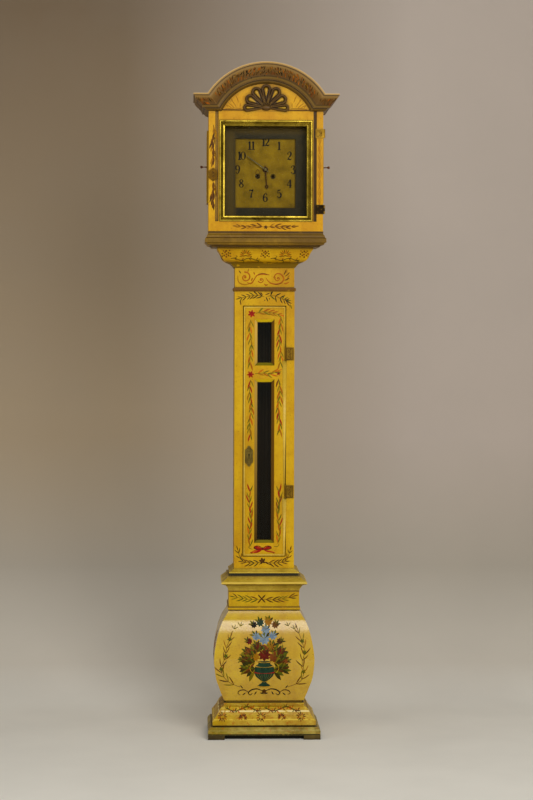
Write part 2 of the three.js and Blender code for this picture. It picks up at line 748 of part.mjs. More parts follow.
// Hood door: a full-width frame with a brass bezel and glass, hinged at its right edge.
function makeHoodDoor() {
  const slab = rectangle(-hoodHalf, hoodZ + seam, hoodHalf, corniceZ - seam);
  slab.holes.push(rectangle(-bezelHalfWidth, bezelCentreZ - bezelHeight / 2,
    bezelHalfWidth, bezelCentreZ + bezelHeight / 2, THREE.Path));
  const grooves = [-1, 1].map((side) => {
    const near = side * (bezelHalfWidth + railGrooveInset);
    const far = near + side * railGrooveWidth;
    return boxBetween(
      [Math.min(near, far), hoodFrontY - overrun, bezelCentreZ - bezelHeight / 2],
      [Math.max(near, far), hoodFrontY + railGrooveDepth, corniceZ + overrun]);
  });
  const slabBoard = board(slab, hoodFrontY, hoodFrontY + hoodDoorThickness);
  addPiece("hood_door_frame", cut(slabBoard, ...grooves), yellowPaint);

  const outline = [
    ...bezelBeadShares.map(([across, out]) => [seam + across * bezelWidth, -out * bezelProud]),
    ...bezelSlopeShares.map(([across, back]) => [seam + across * bezelWidth, back * bezelDepth]),
  ];
  addPiece("hood_bezel", rectangularFrame(outline, bezelHalfWidth, bezelHeight / 2), brass,
    0, hoodFrontY, bezelCentreZ);
  const paneX = bezelHalfWidth - seam;
  const paneZ = bezelHeight / 2 - seam;
  addPiece("hood_glass", boxBetween([-paneX, 0, -paneZ], [paneX, paneThickness, paneZ]),
    clearGlass, 0, hoodFrontY + bezelDepth + seam, bezelCentreZ);
  const keyX = -hoodHalf + hoodEscutcheonWidth / 2 + 2 * seam;
  addPiece("hood_door_escutcheon", escutcheon(hoodEscutcheonWidth, hoodEscutcheonHeight),
    oldBrass, keyX, hoodFrontY, corniceZ - hoodEscutcheonDrop);
}

// Hood hinges: a plate on the door's front with the middle knuckle, and a leaf on the hood's
// side that carries the outer knuckles and the pin.
function makeHoodHinges() {
  const axisX = hoodHalf + seam + knuckleRadius;
  const axisY = hoodFrontY - seam - leafThickness + knuckleRadius;
  const half = hoodHingeHeight / 2;
  const third = hoodHingeHeight / 6;
  const upright = (radius, low, high, sides = roundSides) =>
    new THREE.CylinderGeometry(radius, radius, high - low, sides)
      .rotateX(Math.PI / 2).translate(axisX, axisY, (low + high) / 2);
  const places = { upper: corniceZ - hoodHingeEndDistance, lower: hoodZ + hoodHingeEndDistance };
  for (const [name, z] of Object.entries(places)) {
    const plate = boxBetween([hoodHalf - hoodHingeWidth, hoodFrontY - seam - leafThickness, -half],
      [axisX, hoodFrontY - seam, half]);
    const outer = [[-half - seam, -third], [third, half + seam]].map(([low, high]) =>
      upright(knuckleRadius + seam, low - seam, high + seam));
    const middle = upright(knuckleRadius, seam - third, third - seam);
    const bore = upright(hingePinRadius + arborFit, -half, half);
    addPiece(`hood_hinge_${name}_door_leaf`, cut(join(cut(plate, ...outer), middle), bore), oldBrass,
      0, 0, z);
    const strip = boxBetween([hoodHalf + seam, axisY, -half],
      [hoodHalf + seam + leafThickness, hoodSideFrontY + hoodHingeReturn, half]);
    const relief = upright(knuckleRadius + seam, -third, third);
    const ends = [[-half, -third - seam], [third + seam, half]].map(([low, high]) =>
      upright(knuckleRadius, low, high));
    const pin = upright(hingePinRadius, -half, half);
    addPiece(`hood_hinge_${name}_case_leaf`, join(cut(strip, relief), ...ends, pin), oldBrass,
      0, 0, z);
  }
}

// Side doors: plain lipped panels over the doorways, each with a small turned knob.
function makeSideDoors() {
  const knobOutline = knobShares.map(([out, along]) =>
    new THREE.Vector2(out * knobRadius, along * knobLength));
  for (const [name, side] of [["left", -1], ["right", 1]]) {
    const panel = boxBetween([seam, sideDoorFrontY, -sideDoorHeight / 2],
      [seam + sideDoorThickness, sideDoorFrontY + sideDoorWidth, sideDoorHeight / 2]);
    if (side < 0) panel.translate(-2 * seam - sideDoorThickness, 0, 0);
    addPiece(`${name}_side_door`, panel, yellowPaint, side * hoodHalf, 0, sideDoorCentreZ);
    const knob = new THREE.LatheGeometry(knobOutline, roundSides);
    knob.rotateZ((-side * Math.PI) / 2);
    addPiece(`${name}_side_knob`, knob, darkSteel,
      side * (hoodHalf + 2 * seam + sideDoorThickness), sideDoorFrontY + knobInset, sideDoorCentreZ);
  }
}

// Planes of the dial and movement, from the front backwards.
const dialCentreZ = corniceZ - dialCentreDrop;
const dialFrontY = hoodFrontY + dialDepth;
const dialBackY = dialFrontY + dialThickness;
const frontPlateY = dialBackY + motionRoom;
const trainFrontY = frontPlateY + plateThickness;
const trainBackY = trainFrontY + plateSpacing;
const backPlateBackY = trainBackY + plateThickness;
const windingZ = dialCentreZ - windingDrop;
const strikeX = -windingSpread;
const timeX = windingSpread;
const escapeZ = dialCentreZ + escapeRise;
const anchorZ = dialCentreZ + anchorRise;
const minuteWheelZ = dialCentreZ + motionDistance;
const hammerX = -hammerAcross;
const hammerZ = dialCentreZ + hammerRise;
const plateBottomZ = dialCentreZ - plateBelowCentre;
const plateTopZ = dialCentreZ + plateAboveCentre;

function makeDial() {
  const halfX = dialSightWidth / 2;
  const halfZ = dialSightHeight / 2;
  const sightZ = dialCentreZ - dialSightDrop;
  const plate = rectangle(-halfX - dialMargin, sightZ - halfZ - dialMargin,
    halfX + dialMargin, sightZ + halfZ + dialMargin);
  plate.holes.push(circle(0, dialCentreZ, dialCentreHole));
  for (const x of [strikeX, timeX]) plate.holes.push(circle(x, windingZ, windingHoleRadius));
  addPiece("dial_plate", board(plate, dialFrontY, dialBackY), brass);
  const surround = rectangle(seam - hoodInner, hoodZ + seam, hoodInner - seam, corniceZ - seam);
  surround.holes.push(rectangle(-halfX, sightZ - halfZ, halfX, sightZ + halfZ, THREE.Path));
  addPiece("dial_board",
    board(surround, dialFrontY - seam - dialBoardThickness, dialFrontY - seam), darkPaint);
}

// Cheeks and seat board in one frame, with a slot for the pendulum.
function makeSeat() {
  const outerX = halfWidth(0) - caseWall - seam;
  const cheekFrontY = trunkFrontY + trunkFrameThickness + cheekInset;
  const seatTopZ = plateBottomZ - seam;
  const seatBackY = backFaceY - seam;
  const cheeks = [-1, 1].map((side) => {
    const [x0, x1] =
      side < 0 ? [-outerX, cheekThickness - outerX] : [outerX - cheekThickness, outerX];
    return boxBetween([x0, cheekFrontY, neckFriezeZ - cheekFoot], [x1, seatBackY, seatTopZ]);
  });
  const seat = boxBetween([-outerX, frontPlateY - seatFrontReach / 2, seatTopZ - seatThickness],
    [outerX, seatBackY, seatTopZ]);
  const slotFrontY = backPlateBackY + pendulumSlotClearance;
  const slot = boxBetween(
    [-pendulumSlotWidth / 2, slotFrontY, seatTopZ - 2 * seatThickness],
    [pendulumSlotWidth / 2, seatBackY + overrun, seatTopZ + overrun]);
  addPiece("seat_board_and_cheeks", cut(join(...cheeks, seat), slot), bareWood);
}

// A toothed wheel drawn in X and Z. phase turns its first tooth.
function wheelShape(x, z, teeth, module, phase, bore) {
  const pitch = (2 * Math.PI) / teeth;
  const radius = (module * teeth) / 2;
  const tooth = [
    [radius - dedendumShare * module, (-rootShare * pitch) / 2],
    [radius + addendumShare * module, (-tipShare * pitch) / 2],
    [radius + addendumShare * module, (tipShare * pitch) / 2],
    [radius - dedendumShare * module, (rootShare * pitch) / 2],
  ];
  const points = Array.from({ length: teeth }, (_, i) => tooth.map(([r, turn]) => {
    const angle = phase + i * pitch + turn;
    return [x + r * Math.cos(angle), z + r * Math.sin(angle)];
  })).flat();
  const shape = polygon(points);
  if (bore > 0) shape.holes.push(circle(x, z, bore));
  return shape;
}

// Phases that set a tooth of the first wheel in a gap of the second.
function meshPhases(from, to, teeth) {
  const towards = Math.atan2(to[1] - from[1], to[0] - from[0]);
  return [towards, towards + Math.PI + Math.PI / teeth];
}

function makePlates() {
  const half = plateWidth / 2;
  const holes = [
    [0, dialCentreZ, centreArborRadius + arborFit], [strikeX, windingZ, arborRadius + arborFit],
    [timeX, windingZ, arborRadius + arborFit], [0, escapeZ, fineArborRadius + arborFit],
    [0, anchorZ, fineArborRadius + arborFit], [hammerX, hammerZ, fineArborRadius + arborFit],
  ];
  const outline = () => {
    const plate = rectangle(-half, plateBottomZ, half, plateTopZ);
    for (const [x, z, radius] of holes) plate.holes.push(circle(x, z, radius));
    return plate;
  };
  const stud = barAlongY(0, minuteWheelZ, studRadius, frontPlateY - studLength, trainFrontY);
  addPiece("movement_front_plate", join(board(outline(), frontPlateY, trainFrontY), stud), brass);
  const corners = [-1, 1].flatMap((side) => [plateBottomZ + pillarInset, plateTopZ - pillarInset].map(
    (z) => barAlongY(side * (half - pillarInset), z, pillarRadius, trainFrontY + seam,
      trainBackY + plateThickness / 2)));
  const cock = boxBetween(
    [-cockWidth / 2, backPlateBackY - plateThickness / 2, plateTopZ - cockHeight / 2],
    [cockWidth / 2, backPlateBackY + pendulumSetback + rodThickness, plateTopZ + cockHeight / 2]);
  addPiece("movement_back_plate", join(board(outline(), trainBackY, backPlateBackY), ...corners, cock),
    brass);
}

function makeTrain() {
  const centre = [0, dialCentreZ];
  const centreDistance = Math.hypot(windingSpread, windingDrop);
  const greatModule = (2 * centreDistance) / (greatWheelTeeth + centrePinionLeaves);
  const [pinionPhase, greatPhase] = meshPhases(centre, [timeX, windingZ], greatWheelTeeth);
  const timeWheelY = trainBackY - barrelClearance + motionWheelGap;
  const strikeWheelY = trainFrontY + barrelClearance - motionWheelGap - greatWheelThickness;
  const barrels = [
    ["time_barrel", timeX, timeWheelY, greatPhase],
    ["strike_barrel", strikeX, strikeWheelY, 0],
  ];
  for (const [name, x, wheelY, phase] of barrels) {
    const drum = barAlongY(x, windingZ, barrelRadius,
      trainFrontY + barrelClearance, trainBackY - barrelClearance, 2 * roundSides);
    const wheel = board(wheelShape(x, windingZ, greatWheelTeeth, greatModule, phase, 0),
      wheelY, wheelY + greatWheelThickness);
    const shaft = barAlongY(x, windingZ, arborRadius,
      frontPlateY - barrelArborReach, backPlateBackY + seam);
    const square = barAlongY(x, windingZ, arborRadius, dialFrontY - seam, frontPlateY, squareSides);
    addPiece(name, join(drum, wheel, shaft, square), brass);
  }

  const motionModule = (2 * motionDistance) / (cannonTeeth + minuteWheelTeeth);
  const stud = [0, minuteWheelZ];
  const [cannonPhase, minutePhase] = meshPhases(centre, stud, minuteWheelTeeth);
  const [hourPhase, pinionTurn] = meshPhases(centre, stud, minutePinionTeeth);
  const rearY = frontPlateY - motionWheelGap - motionWheelThickness;
  const foreY = rearY - motionWheelGap - motionWheelThickness;
  const cannon = board(wheelShape(0, dialCentreZ, cannonTeeth, motionModule, cannonPhase, 0),
    rearY - motionWheelGap / 2, frontPlateY - motionWheelGap / 2);
  const pinion = board(
    wheelShape(0, dialCentreZ, centrePinionLeaves, greatModule, pinionPhase, 0),
    timeWheelY - motionWheelGap / 2, timeWheelY + greatWheelThickness + motionWheelGap / 2);
  const arbor = barAlongY(0, dialCentreZ, centreArborRadius,
    dialFrontY - minuteHandGap + seam, backPlateBackY + seam);
  addPiece("centre_arbor", join(arbor, cannon, pinion), steel);

  const studBore = studRadius + arborFit;
  const minuteWheel = board(
    wheelShape(0, minuteWheelZ, minuteWheelTeeth, motionModule, minutePhase, studBore),
    rearY, rearY + motionWheelThickness);
  const minutePinion = board(
    wheelShape(0, minuteWheelZ, minutePinionTeeth, motionModule, pinionTurn, studBore),
    foreY - motionWheelGap / 2, rearY + seam);
  addPiece("minute_wheel", join(minuteWheel, minutePinion), brass);

  const pipeBore = centreArborRadius + arborFit;
  const hourWheel = board(
    wheelShape(0, dialCentreZ, hourWheelTeeth, motionModule, hourPhase, pipeBore),
    foreY, foreY + motionWheelThickness);
  const pipe = cut(
    barAlongY(0, dialCentreZ, hourPipeRadius, dialFrontY - hourHandGap + seam, foreY + seam),
    barAlongY(0, dialCentreZ, pipeBore, dialFrontY - 2 * hourHandGap, foreY + overrun));
  addPiece("hour_wheel", join(hourWheel, pipe), brass);
}

// Turns a piece drawn pointing to twelve clockwise, as seen from the front.
const clockwise = (geometry, turns) => geometry.rotateY(2 * Math.PI * turns);

function makeHands() {
  const minuteTurns = minutesShown / 60;
  const hourTurns = (hoursShown + minuteTurns) / 12;
  const blade = (length, width) => {
    const tail = (tailShare * width) / 2;
    const right = [[tail, -handTail], ...bladeShares.map(([u, v]) => [(u * width) / 2, v * length])];
    const left = right.slice(0, -1).map(([x, z]) => [-x, z]).reverse();
    return board(polygon([...right, ...left]), -handThickness, 0);
  };
  const disc = (z, radius) => barAlongY(0, z, radius, -handThickness, 0);
  const hole = (z, radius) => barAlongY(0, z, radius, -2 * handThickness, handThickness);
  const hourHand = cut(
    join(blade(hourHandLength, hourHandWidth), disc(hourRingCentre, hourRingRadius),
      disc(0, hourBossRadius)),
    hole(hourRingCentre, hourRingHole), hole(0, hourHandBore));
  addPiece("hour_hand", clockwise(hourHand, hourTurns), darkSteel,
    0, dialFrontY - hourHandGap, dialCentreZ);
  const minuteHand = join(blade(minuteHandLength, minuteHandWidth), disc(0, minuteBossRadius),
    barAlongY(0, 0, handCapRadius, -handThickness - handCapHeight, 0));
  addPiece("minute_hand", clockwise(minuteHand, minuteTurns), steel,
    0, dialFrontY - minuteHandGap, dialCentreZ);
}

function makeEscapement() {
  const wheelY = trainBackY - escapeSetback;
  const escapeShape = wheelShape(0, escapeZ, escapeTeeth, escapeModule, 0, 0);
  const wheel = board(escapeShape, wheelY, wheelY + escapeThickness);
  const arbor = barAlongY(0, escapeZ, fineArborRadius, frontPlateY, backPlateBackY);
  addPiece("escape_wheel", join(wheel, arbor), brass);

  const half = anchorArmHeight / 2;
  const anchor = board(polygon([
    [0, half], [-anchorArmLength, -anchorArmDrop], [-anchorArmLength, -anchorArmDrop - half],
    [0, -half], [anchorArmLength, -anchorArmDrop - half], [anchorArmLength, -anchorArmDrop],
  ]), wheelY, wheelY + escapeThickness).translate(0, 0, anchorZ);
  const crutchY = backPlateBackY + crutchSetback;
  const forkZ = anchorZ - crutchLength;
  const shaft = barAlongY(0, anchorZ, fineArborRadius, frontPlateY, crutchY + crutchWidth);
  const crutch = boxBetween([-crutchWidth / 2, crutchY, forkZ],
    [crutchWidth / 2, crutchY + crutchWidth, anchorZ]);
  const forkPins = [-1, 1].map((side) => {
    const near = side * (rodWidth / 2 + crutchForkGap);
    const far = near + side * crutchWidth;
    return boxBetween([Math.min(near, far), crutchY, forkZ],
      [Math.max(near, far), backPlateBackY + pendulumSetback + rodThickness, forkZ + crutchWidth]);
  });
  const bridge = boxBetween([-rodWidth / 2 - crutchForkGap - crutchWidth, crutchY, forkZ],
    [rodWidth / 2 + crutchForkGap + crutchWidth, crutchY + crutchWidth, forkZ + crutchWidth]);
  addPiece("anchor_and_crutch", join(shaft, anchor, crutch, bridge, ...forkPins), steel);
}

function makePendulum() {
  const rodY = backPlateBackY + pendulumSetback;
  const bobZ = anchorZ - pendulumLength;
  const rodTopZ = plateTopZ - cockHeight / 2 - seam;
  const rod = boxBetween([-rodWidth / 2, 0, bobZ - bobRadius - ratingNutHeight],
    [rodWidth / 2, rodThickness, rodTopZ]);
  const nut = new THREE.CylinderGeometry(ratingNutRadius, ratingNutRadius, ratingNutHeight, roundSides)
    .rotateX(Math.PI / 2)
    .translate(0, rodThickness / 2, bobZ - bobRadius - seam - ratingNutHeight / 2);
  addPiece("pendulum_rod", join(rod, nut), steel, 0, rodY, 0);
  const outline = bobShares.map(([out, back]) =>
    new THREE.Vector2(out * bobRadius, back * bobHalfThickness));
  const lens = new THREE.LatheGeometry(outline, 2 * roundSides);
  const channel = boxBetween([-rodWidth / 2 - seam, -rodThickness / 2 - seam, -2 * bobRadius],
    [rodWidth / 2 + seam, rodThickness / 2 + seam, 2 * bobRadius]);
  addPiece("pendulum_bob", cut(lens, channel), brass, 0, rodY + rodThickness / 2, bobZ);
}

function makeStrike() {
  const armY = backPlateBackY + hammerSetback;
  const head = [-hammerArmX, hammerArmZ];
  const along = new THREE.Vector2(...head).normalize();
  const side = [(-along.y * hammerArmWidth) / 2, (along.x * hammerArmWidth) / 2];
  const arm = polygon([
    [side[0], side[1]], [head[0] + side[0], head[1] + side[1]],
    [head[0] - side[0], head[1] - side[1]], [-side[0], -side[1]],
  ]);
  const shaft = barAlongY(0, 0, fineArborRadius, frontPlateY, armY + hammerArmWidth);
  const headBar = new THREE.CylinderGeometry(
    hammerHeadRadius, hammerHeadRadius, hammerHeadLength, roundSides)
    .rotateZ(Math.PI / 2)
    .translate(head[0], armY + hammerArmWidth / 2, head[1]);
  addPiece("strike_hammer", join(shaft, board(arm, armY, armY + hammerArmWidth), headBar), brass,
    hammerX, 0, hammerZ);

  const firstX = hammerX - hammerArmX - hammerHeadLength / 2 - hammerRestGap - gongRodRadius;
  const rodY = armY + hammerArmWidth / 2;
  const topZ = dialCentreZ + gongTopRise;
  const rods = [0, 1].map((i) => {
    const rod = new THREE.CylinderGeometry(gongRodRadius, gongRodRadius, gongRodLength, roundSides);
    return rod.rotateX(Math.PI / 2)
      .translate(firstX - i * gongRodSpacing, rodY, topZ - gongRodLength / 2 + gongBlockHeight / 2);
  });
  const blockReach = gongRodRadius + gongBlockMargin;
  const block = boxBetween(
    [firstX - gongRodSpacing - blockReach, rodY - blockReach, topZ],
    [firstX + blockReach, backFaceY - seam, topZ + gongBlockHeight]);
  addPiece("gong_rods_and_block", join(block, ...rods), steel);
}

makePlinth();
makeBase();
makeTrunk();
makeTrunkDoor();
makeTrunkHinges();
makeHood();
makeBack();
makeCornice();
makeShell();
makeHoodDoor();
makeHoodHinges();
makeSideDoors();
makeDial();
makeSeat();
makePlates();
makeTrain();
makeHands();
makeEscapement();
makePendulum();
makeStrike();

export default clock;
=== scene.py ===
import math
import random

import bmesh
import bpy
from mathutils import Matrix, Vector
from mathutils.bvhtree import BVHTree


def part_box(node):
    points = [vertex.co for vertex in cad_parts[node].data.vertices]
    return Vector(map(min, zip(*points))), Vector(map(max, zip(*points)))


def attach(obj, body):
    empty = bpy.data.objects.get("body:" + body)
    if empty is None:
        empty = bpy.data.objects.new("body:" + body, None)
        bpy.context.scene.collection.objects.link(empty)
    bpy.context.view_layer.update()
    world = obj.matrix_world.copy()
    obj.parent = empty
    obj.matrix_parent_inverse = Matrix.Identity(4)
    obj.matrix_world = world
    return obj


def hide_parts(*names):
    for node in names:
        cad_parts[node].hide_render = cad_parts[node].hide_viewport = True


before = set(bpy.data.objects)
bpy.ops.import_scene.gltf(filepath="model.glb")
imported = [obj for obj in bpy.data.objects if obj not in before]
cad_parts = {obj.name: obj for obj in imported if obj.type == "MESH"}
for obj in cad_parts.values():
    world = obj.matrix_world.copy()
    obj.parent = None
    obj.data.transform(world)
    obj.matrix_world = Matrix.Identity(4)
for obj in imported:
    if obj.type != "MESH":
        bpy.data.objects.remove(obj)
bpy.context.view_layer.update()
random.seed(7)

MM = 0.001
# A straight look at a surface starts this far in front of it, in millimetres.
FAR = 3000
SIDES = {"front": Vector((0, 1, 0)), "left": Vector((1, 0, 0)), "right": Vector((-1, 0, 0))}

# Paint stands this far off the surface at its rim, and this much further in the middle, in millimetres.
RIM_LIFT = 0.08
PAINT_THICKNESS = 0.4

# The cornice in millimetres: outer radius of the arch, width of its moulding, height of its level ends.
ARCH_RADIUS = 203
ARCH_WIDTH = 60
CORNICE_HEIGHT = 48


def box_mm(node):
    low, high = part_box(node)
    return low / MM, high / MM


def middle_of(node):
    low, high = box_mm(node)
    return (low + high) / 2


ARCH_TOP = box_mm("hood_cornice")[1].z
ARCH_CENTRE_Z = ARCH_TOP - ARCH_RADIUS
SHOULDER_Z = box_mm("hood_left_side")[1].z
DIAL_CENTRE_Z = middle_of("centre_arbor").z


# Colours and materials
def linear(red, green, blue):
    def one(value):
        value /= 255
        return value / 12.92 if value <= 0.04045 else ((value + 0.055) / 1.055) ** 2.4

    return (one(red), one(green), one(blue), 1.0)


class Shade:
    """A material with a Principled shader and short calls for the nodes that feed it."""

    def __init__(self, name, **values):
        self.material = bpy.data.materials.new(name)
        self.material.use_nodes = True
        self.tree = self.material.node_tree
        self.shader = self.tree.nodes["Principled BSDF"]
        for socket, value in values.items():
            self.shader.inputs[socket.replace("_", " ")].default_value = value
        self.place = self.node("ShaderNodeTexCoord").outputs["Object"]

    def node(self, kind, inputs=None, **settings):
        made = self.tree.nodes.new(kind)
        for key, value in settings.items():
            setattr(made, key, value)
        for key, value in (inputs or {}).items():
            self.put(made.inputs[key], value)
        return made

    def put(self, socket, value):
        if isinstance(value, bpy.types.NodeSocket):
            self.tree.links.new(value, socket)
        else:
            socket.default_value = value

    def noise(self, scale, detail=4.0, rough=0.55, stretch=(1, 1, 1)):
        where = self.node("ShaderNodeMapping", {0: self.place, 3: stretch}).outputs[0]
        settings = {"Vector": where, "Scale": scale, "Detail": detail, "Roughness": rough}
        return self.node("ShaderNodeTexNoise", settings).outputs[0]

    def spread(self, value, low, high, to_low=0.0, to_high=1.0):
        return self.node("ShaderNodeMapRange", {0: value, 1: low, 2: high, 3: to_low, 4: to_high}).outputs[0]

    def mix(self, amount, first, second):
        return self.node("ShaderNodeMix", {0: amount, 6: first, 7: second}, data_type="RGBA").outputs[2]

    def over(self, ground, colour, value, low, high, most=1.0):
        """The ground with a colour over it, which comes in as value goes from low to high."""
        return self.mix(self.spread(value, low, high, 0.0, most), ground, colour)

    def math(self, how, first, second=0.0):
        return self.node("ShaderNodeMath", {0: first, 1: second}, operation=how).outputs[0]

    def times(self, first, second):
        return self.math("MULTIPLY", first, second)

    def axis(self, name):
        return self.node("ShaderNodeSeparateXYZ", {0: self.place}).outputs[name]

    def facing(self, name):
        """How far the surface faces along one axis of the object, from -1 to 1."""
        normal = self.node("ShaderNodeTexCoord").outputs["Normal"]
        return self.node("ShaderNodeSeparateXYZ", {0: normal}).outputs[name]

    def band(self, value, low, high, soft):
        """1 between low and high, and 0 outside them."""
        rise = self.spread(value, low - soft, low + soft)
        fall = self.spread(value, high + soft, high - soft)
        return self.times(rise, fall)

    def grime(self, distance=0.012):
        """How far a point lies in a corner, from 0 in the open to 1, to darken corners as painted shade."""
        made = self.node("ShaderNodeAmbientOcclusion", {"Distance": distance}, samples=6)
        return self.math("SUBTRACT", 1.0, self.spread(made.outputs["AO"], 0.45, 0.95))

    def edge(self, radius=0.0014):
        rounded = self.node("ShaderNodeBevel", {"Radius": radius}, samples=4).outputs[0]
        flat = self.node("ShaderNodeNewGeometry").outputs["Normal"]
        same = self.node("ShaderNodeVectorMath", {0: rounded, 1: flat}, operation="DOT_PRODUCT")
        return self.spread(same.outputs["Value"], 0.995, 0.93)

    def ramp(self, value, stops):
        made = self.node("ShaderNodeValToRGB", {0: value})
        points = made.color_ramp.elements
        while len(points) < len(stops):
            points.new(0.5)
        for point, (position, colour) in zip(points, stops):
            point.position, point.color = position, linear(*colour)
        return made.outputs[0]

    def colour(self, value):
        self.put(self.shader.inputs["Base Color"], value)

    def bump(self, height, strength=0.1, distance=0.001):
        made = self.node("ShaderNodeBump", {"Height": height, "Strength": strength, "Distance": distance})
        self.put(self.shader.inputs["Normal"], made.outputs[0])

    def rough(self, value, low, high):
        self.put(self.shader.inputs["Roughness"], self.spread(value, 0.3, 0.7, low, high))


def lacquer(name, base, deep, pale, dirt_and_shade, gloss=0.05, worn=0.4, tone=None, polish=0.25, stain=0.45, flake=0.0,
            coat=1.5):
    """Aged lacquer: a stained and mottled ground, painted shade in the corners and rubbed edges."""
    base, deep, pale, dirt_and_shade = (linear(*colour) for colour in (base, deep, pale, dirt_and_shade))
    shade = Shade(name, Coat_Weight=gloss, Coat_Roughness=polish, Coat_IOR=coat, Specular_IOR_Level=0.14)
    fine = shade.noise(70, 6, 0.65)
    ground = shade.over(base, pale, shade.noise(5, 5, 0.6), 0.4, 0.66)
    ground = shade.over(ground, deep, shade.noise(13, 5, 0.65), 0.48, 0.72, stain)
    ground = shade.over(ground, deep, shade.noise(16, 5, 0.6, (1, 1, 0.12)), 0.48, 0.72, stain + 0.1)
    ground = shade.over(ground, deep, fine, 0.52, 0.76, stain)
    if flake:
        ground = shade.over(ground, linear(172, 92, 8), shade.noise(95, 4, 0.7), 0.55, 0.63, flake)
        ground = shade.over(ground, pale, shade.noise(120, 4, 0.7, (0.4, 0.4, 1)), 0.55, 0.63, flake)
    specks = shade.noise(240, 3, 0.7)
    ground = shade.over(ground, dirt_and_shade, specks, 0.63, 0.72, 0.55)
    if tone:
        ground = tone(shade, ground)
    rubbed = shade.times(shade.edge(), shade.spread(fine, 0.4, 0.6, worn * 0.4, worn))
    ground = shade.mix(rubbed, ground, pale)
    # Painted shade: corners darken towards the dark colour that also tints the specks of dirt.
    shade.colour(shade.mix(shade.times(shade.grime(), 0.8), ground, dirt_and_shade))
    shade.rough(fine, 0.4, 0.58)
    shade.bump(shade.math("ADD", fine, shade.times(specks, 0.3)), 0.14, 0.0006)
    return shade.material


def enamel(name, colour, deep):
    """Paint of the decoration, uneven in depth and a little rubbed."""
    shade = Shade(name, Specular_IOR_Level=0.1)
    fine = shade.noise(400, 4, 0.6)
    ground = shade.over(linear(*colour), linear(*deep), shade.noise(90, 4, 0.6), 0.35, 0.7)
    shade.colour(shade.over(ground, linear(*YELLOW_DEEP), fine, 0.6, 0.75, 0.35))
    shade.rough(fine, 0.35, 0.55)
    shade.bump(fine, 0.15, 0.0003)
    return shade.material


def metal(name, colour, deep, low, high, brush=(1, 1, 1), tarnish=0.5, wave=0.0, metallic=1.0):
    """Metal with brushing, tarnish and, for thin sheet, a slow waviness."""
    colour, deep = linear(*colour), linear(*deep)
    shade = Shade(name, Metallic=metallic, Specular_IOR_Level=0.15)
    broad = shade.noise(30, 5, 0.6)
    fine = shade.noise(500, 4, 0.6, brush)
    ground = shade.over(colour, deep, broad, 0.35, 0.7, tarnish)
    # Painted shade: corners darken to the deep colour.
    shade.colour(shade.mix(shade.grime(0.006), ground, deep))
    shade.rough(shade.math("ADD", shade.times(broad, 0.6), shade.times(fine, 0.4)), low, high)
    height = shade.times(fine, 0.08)
    if wave:
        height = shade.math("ADD", height, shade.times(shade.noise(22, 2, 0.4), wave))
    shade.bump(height, 1.0, 0.0006)
    return shade.material


def bare_wood(name, base, deep):
    base, deep = linear(*base), linear(*deep)
    shade = Shade(name, Specular_IOR_Level=0.25)
    where = shade.node("ShaderNodeMapping", {0: shade.place, 3: (1, 1, 0.06)}).outputs[0]
    settings = {"Vector": where, "Scale": 30.0, "Distortion": 6.0, "Detail": 4.0, "Detail Scale": 1.5}
    rings = shade.node("ShaderNodeTexWave", settings, bands_direction="X").outputs["Fac"]
    fibre = shade.noise(160, 5, 0.7, (1, 1, 0.04))
    ground = shade.over(base, deep, rings, 0.2, 0.9, 0.6)
    ground = shade.over(ground, deep, shade.noise(9, 5, 0.6, (1, 1, 0.12)), 0.4, 0.7, 0.5)
    ground = shade.over(ground, deep, fibre, 0.5, 0.75, 0.6)
    # Painted shade: corners darken to a dark brown.
    shade.colour(shade.mix(shade.grime(0.02), ground, linear(30, 20, 12)))
    shade.rough(fibre, 0.6, 0.8)
    shade.bump(fibre, 0.3, 0.0005)
    return shade.material


def pane(name, clear, pale):
    """Old glass, faintly smeared, drawn partly opaque in a dark colour that lays painted shade over what lies
    behind it.
    """
    shade = Shade(name, Roughness=0.04, Alpha=clear, Specular_IOR_Level=0.3)
    smear = shade.noise(12, 4, 0.6)
    shade.colour(shade.mix(smear, linear(10, 12, 8), linear(*pale)))
    return shade.material


YELLOW_DEEP = (162, 108, 0)
# The colour of specks of dirt, which also serves for the painted shade in corners.
DIRT_AND_SHADE = (54, 36, 6)
YELLOWS = ((196, 149, 2), YELLOW_DEEP, (210, 168, 14), DIRT_AND_SHADE)
HOOD_YELLOWS = ((202, 146, 0), (166, 102, 0), (212, 162, 10), DIRT_AND_SHADE)


def groove_tone(shade, ground):
    """Brown in the recesses of the hood door, partly paint and partly painted shade, lighter in the left
    groove as painted light, with a painted highlight on the groove walls that face right.
    """
    front = box_mm("hood_door_frame")[0].y * MM
    start = box_mm("hood_bezel")[1].x * MM
    near = shade.band(shade.math("ABSOLUTE", shade.axis("X")), start, start + 14 * MM, 0.0005)
    # Painted shade deep in the grooves, partly also their brown paint.
    deep = shade.times(near, shade.spread(shade.axis("Y"), front + 0.0006, front + 0.0016))
    # A painted highlight on the groove walls that face right.
    lit = shade.times(near, shade.spread(shade.facing("X"), 0.5, 0.9))
    # The left groove is a lighter brown than the right, as painted light.
    brown = shade.mix(shade.spread(shade.axis("X"), -MM, MM), linear(178, 132, 40), linear(88, 58, 4))
    ground = shade.mix(deep, ground, brown)
    return shade.mix(lit, ground, linear(196, 168, 104))


def board_tone(shade, ground):
    """The dark board behind the dial turns olive brown along its left and top edges."""
    left = shade.spread(shade.axis("X"), -80 * MM, -96 * MM)
    top = shade.spread(shade.axis("Z"), (DIAL_CENTRE_Z + 98) * MM, (DIAL_CENTRE_Z + 112) * MM)
    return shade.mix(shade.math("MAXIMUM", left, top), ground, linear(80, 63, 8))


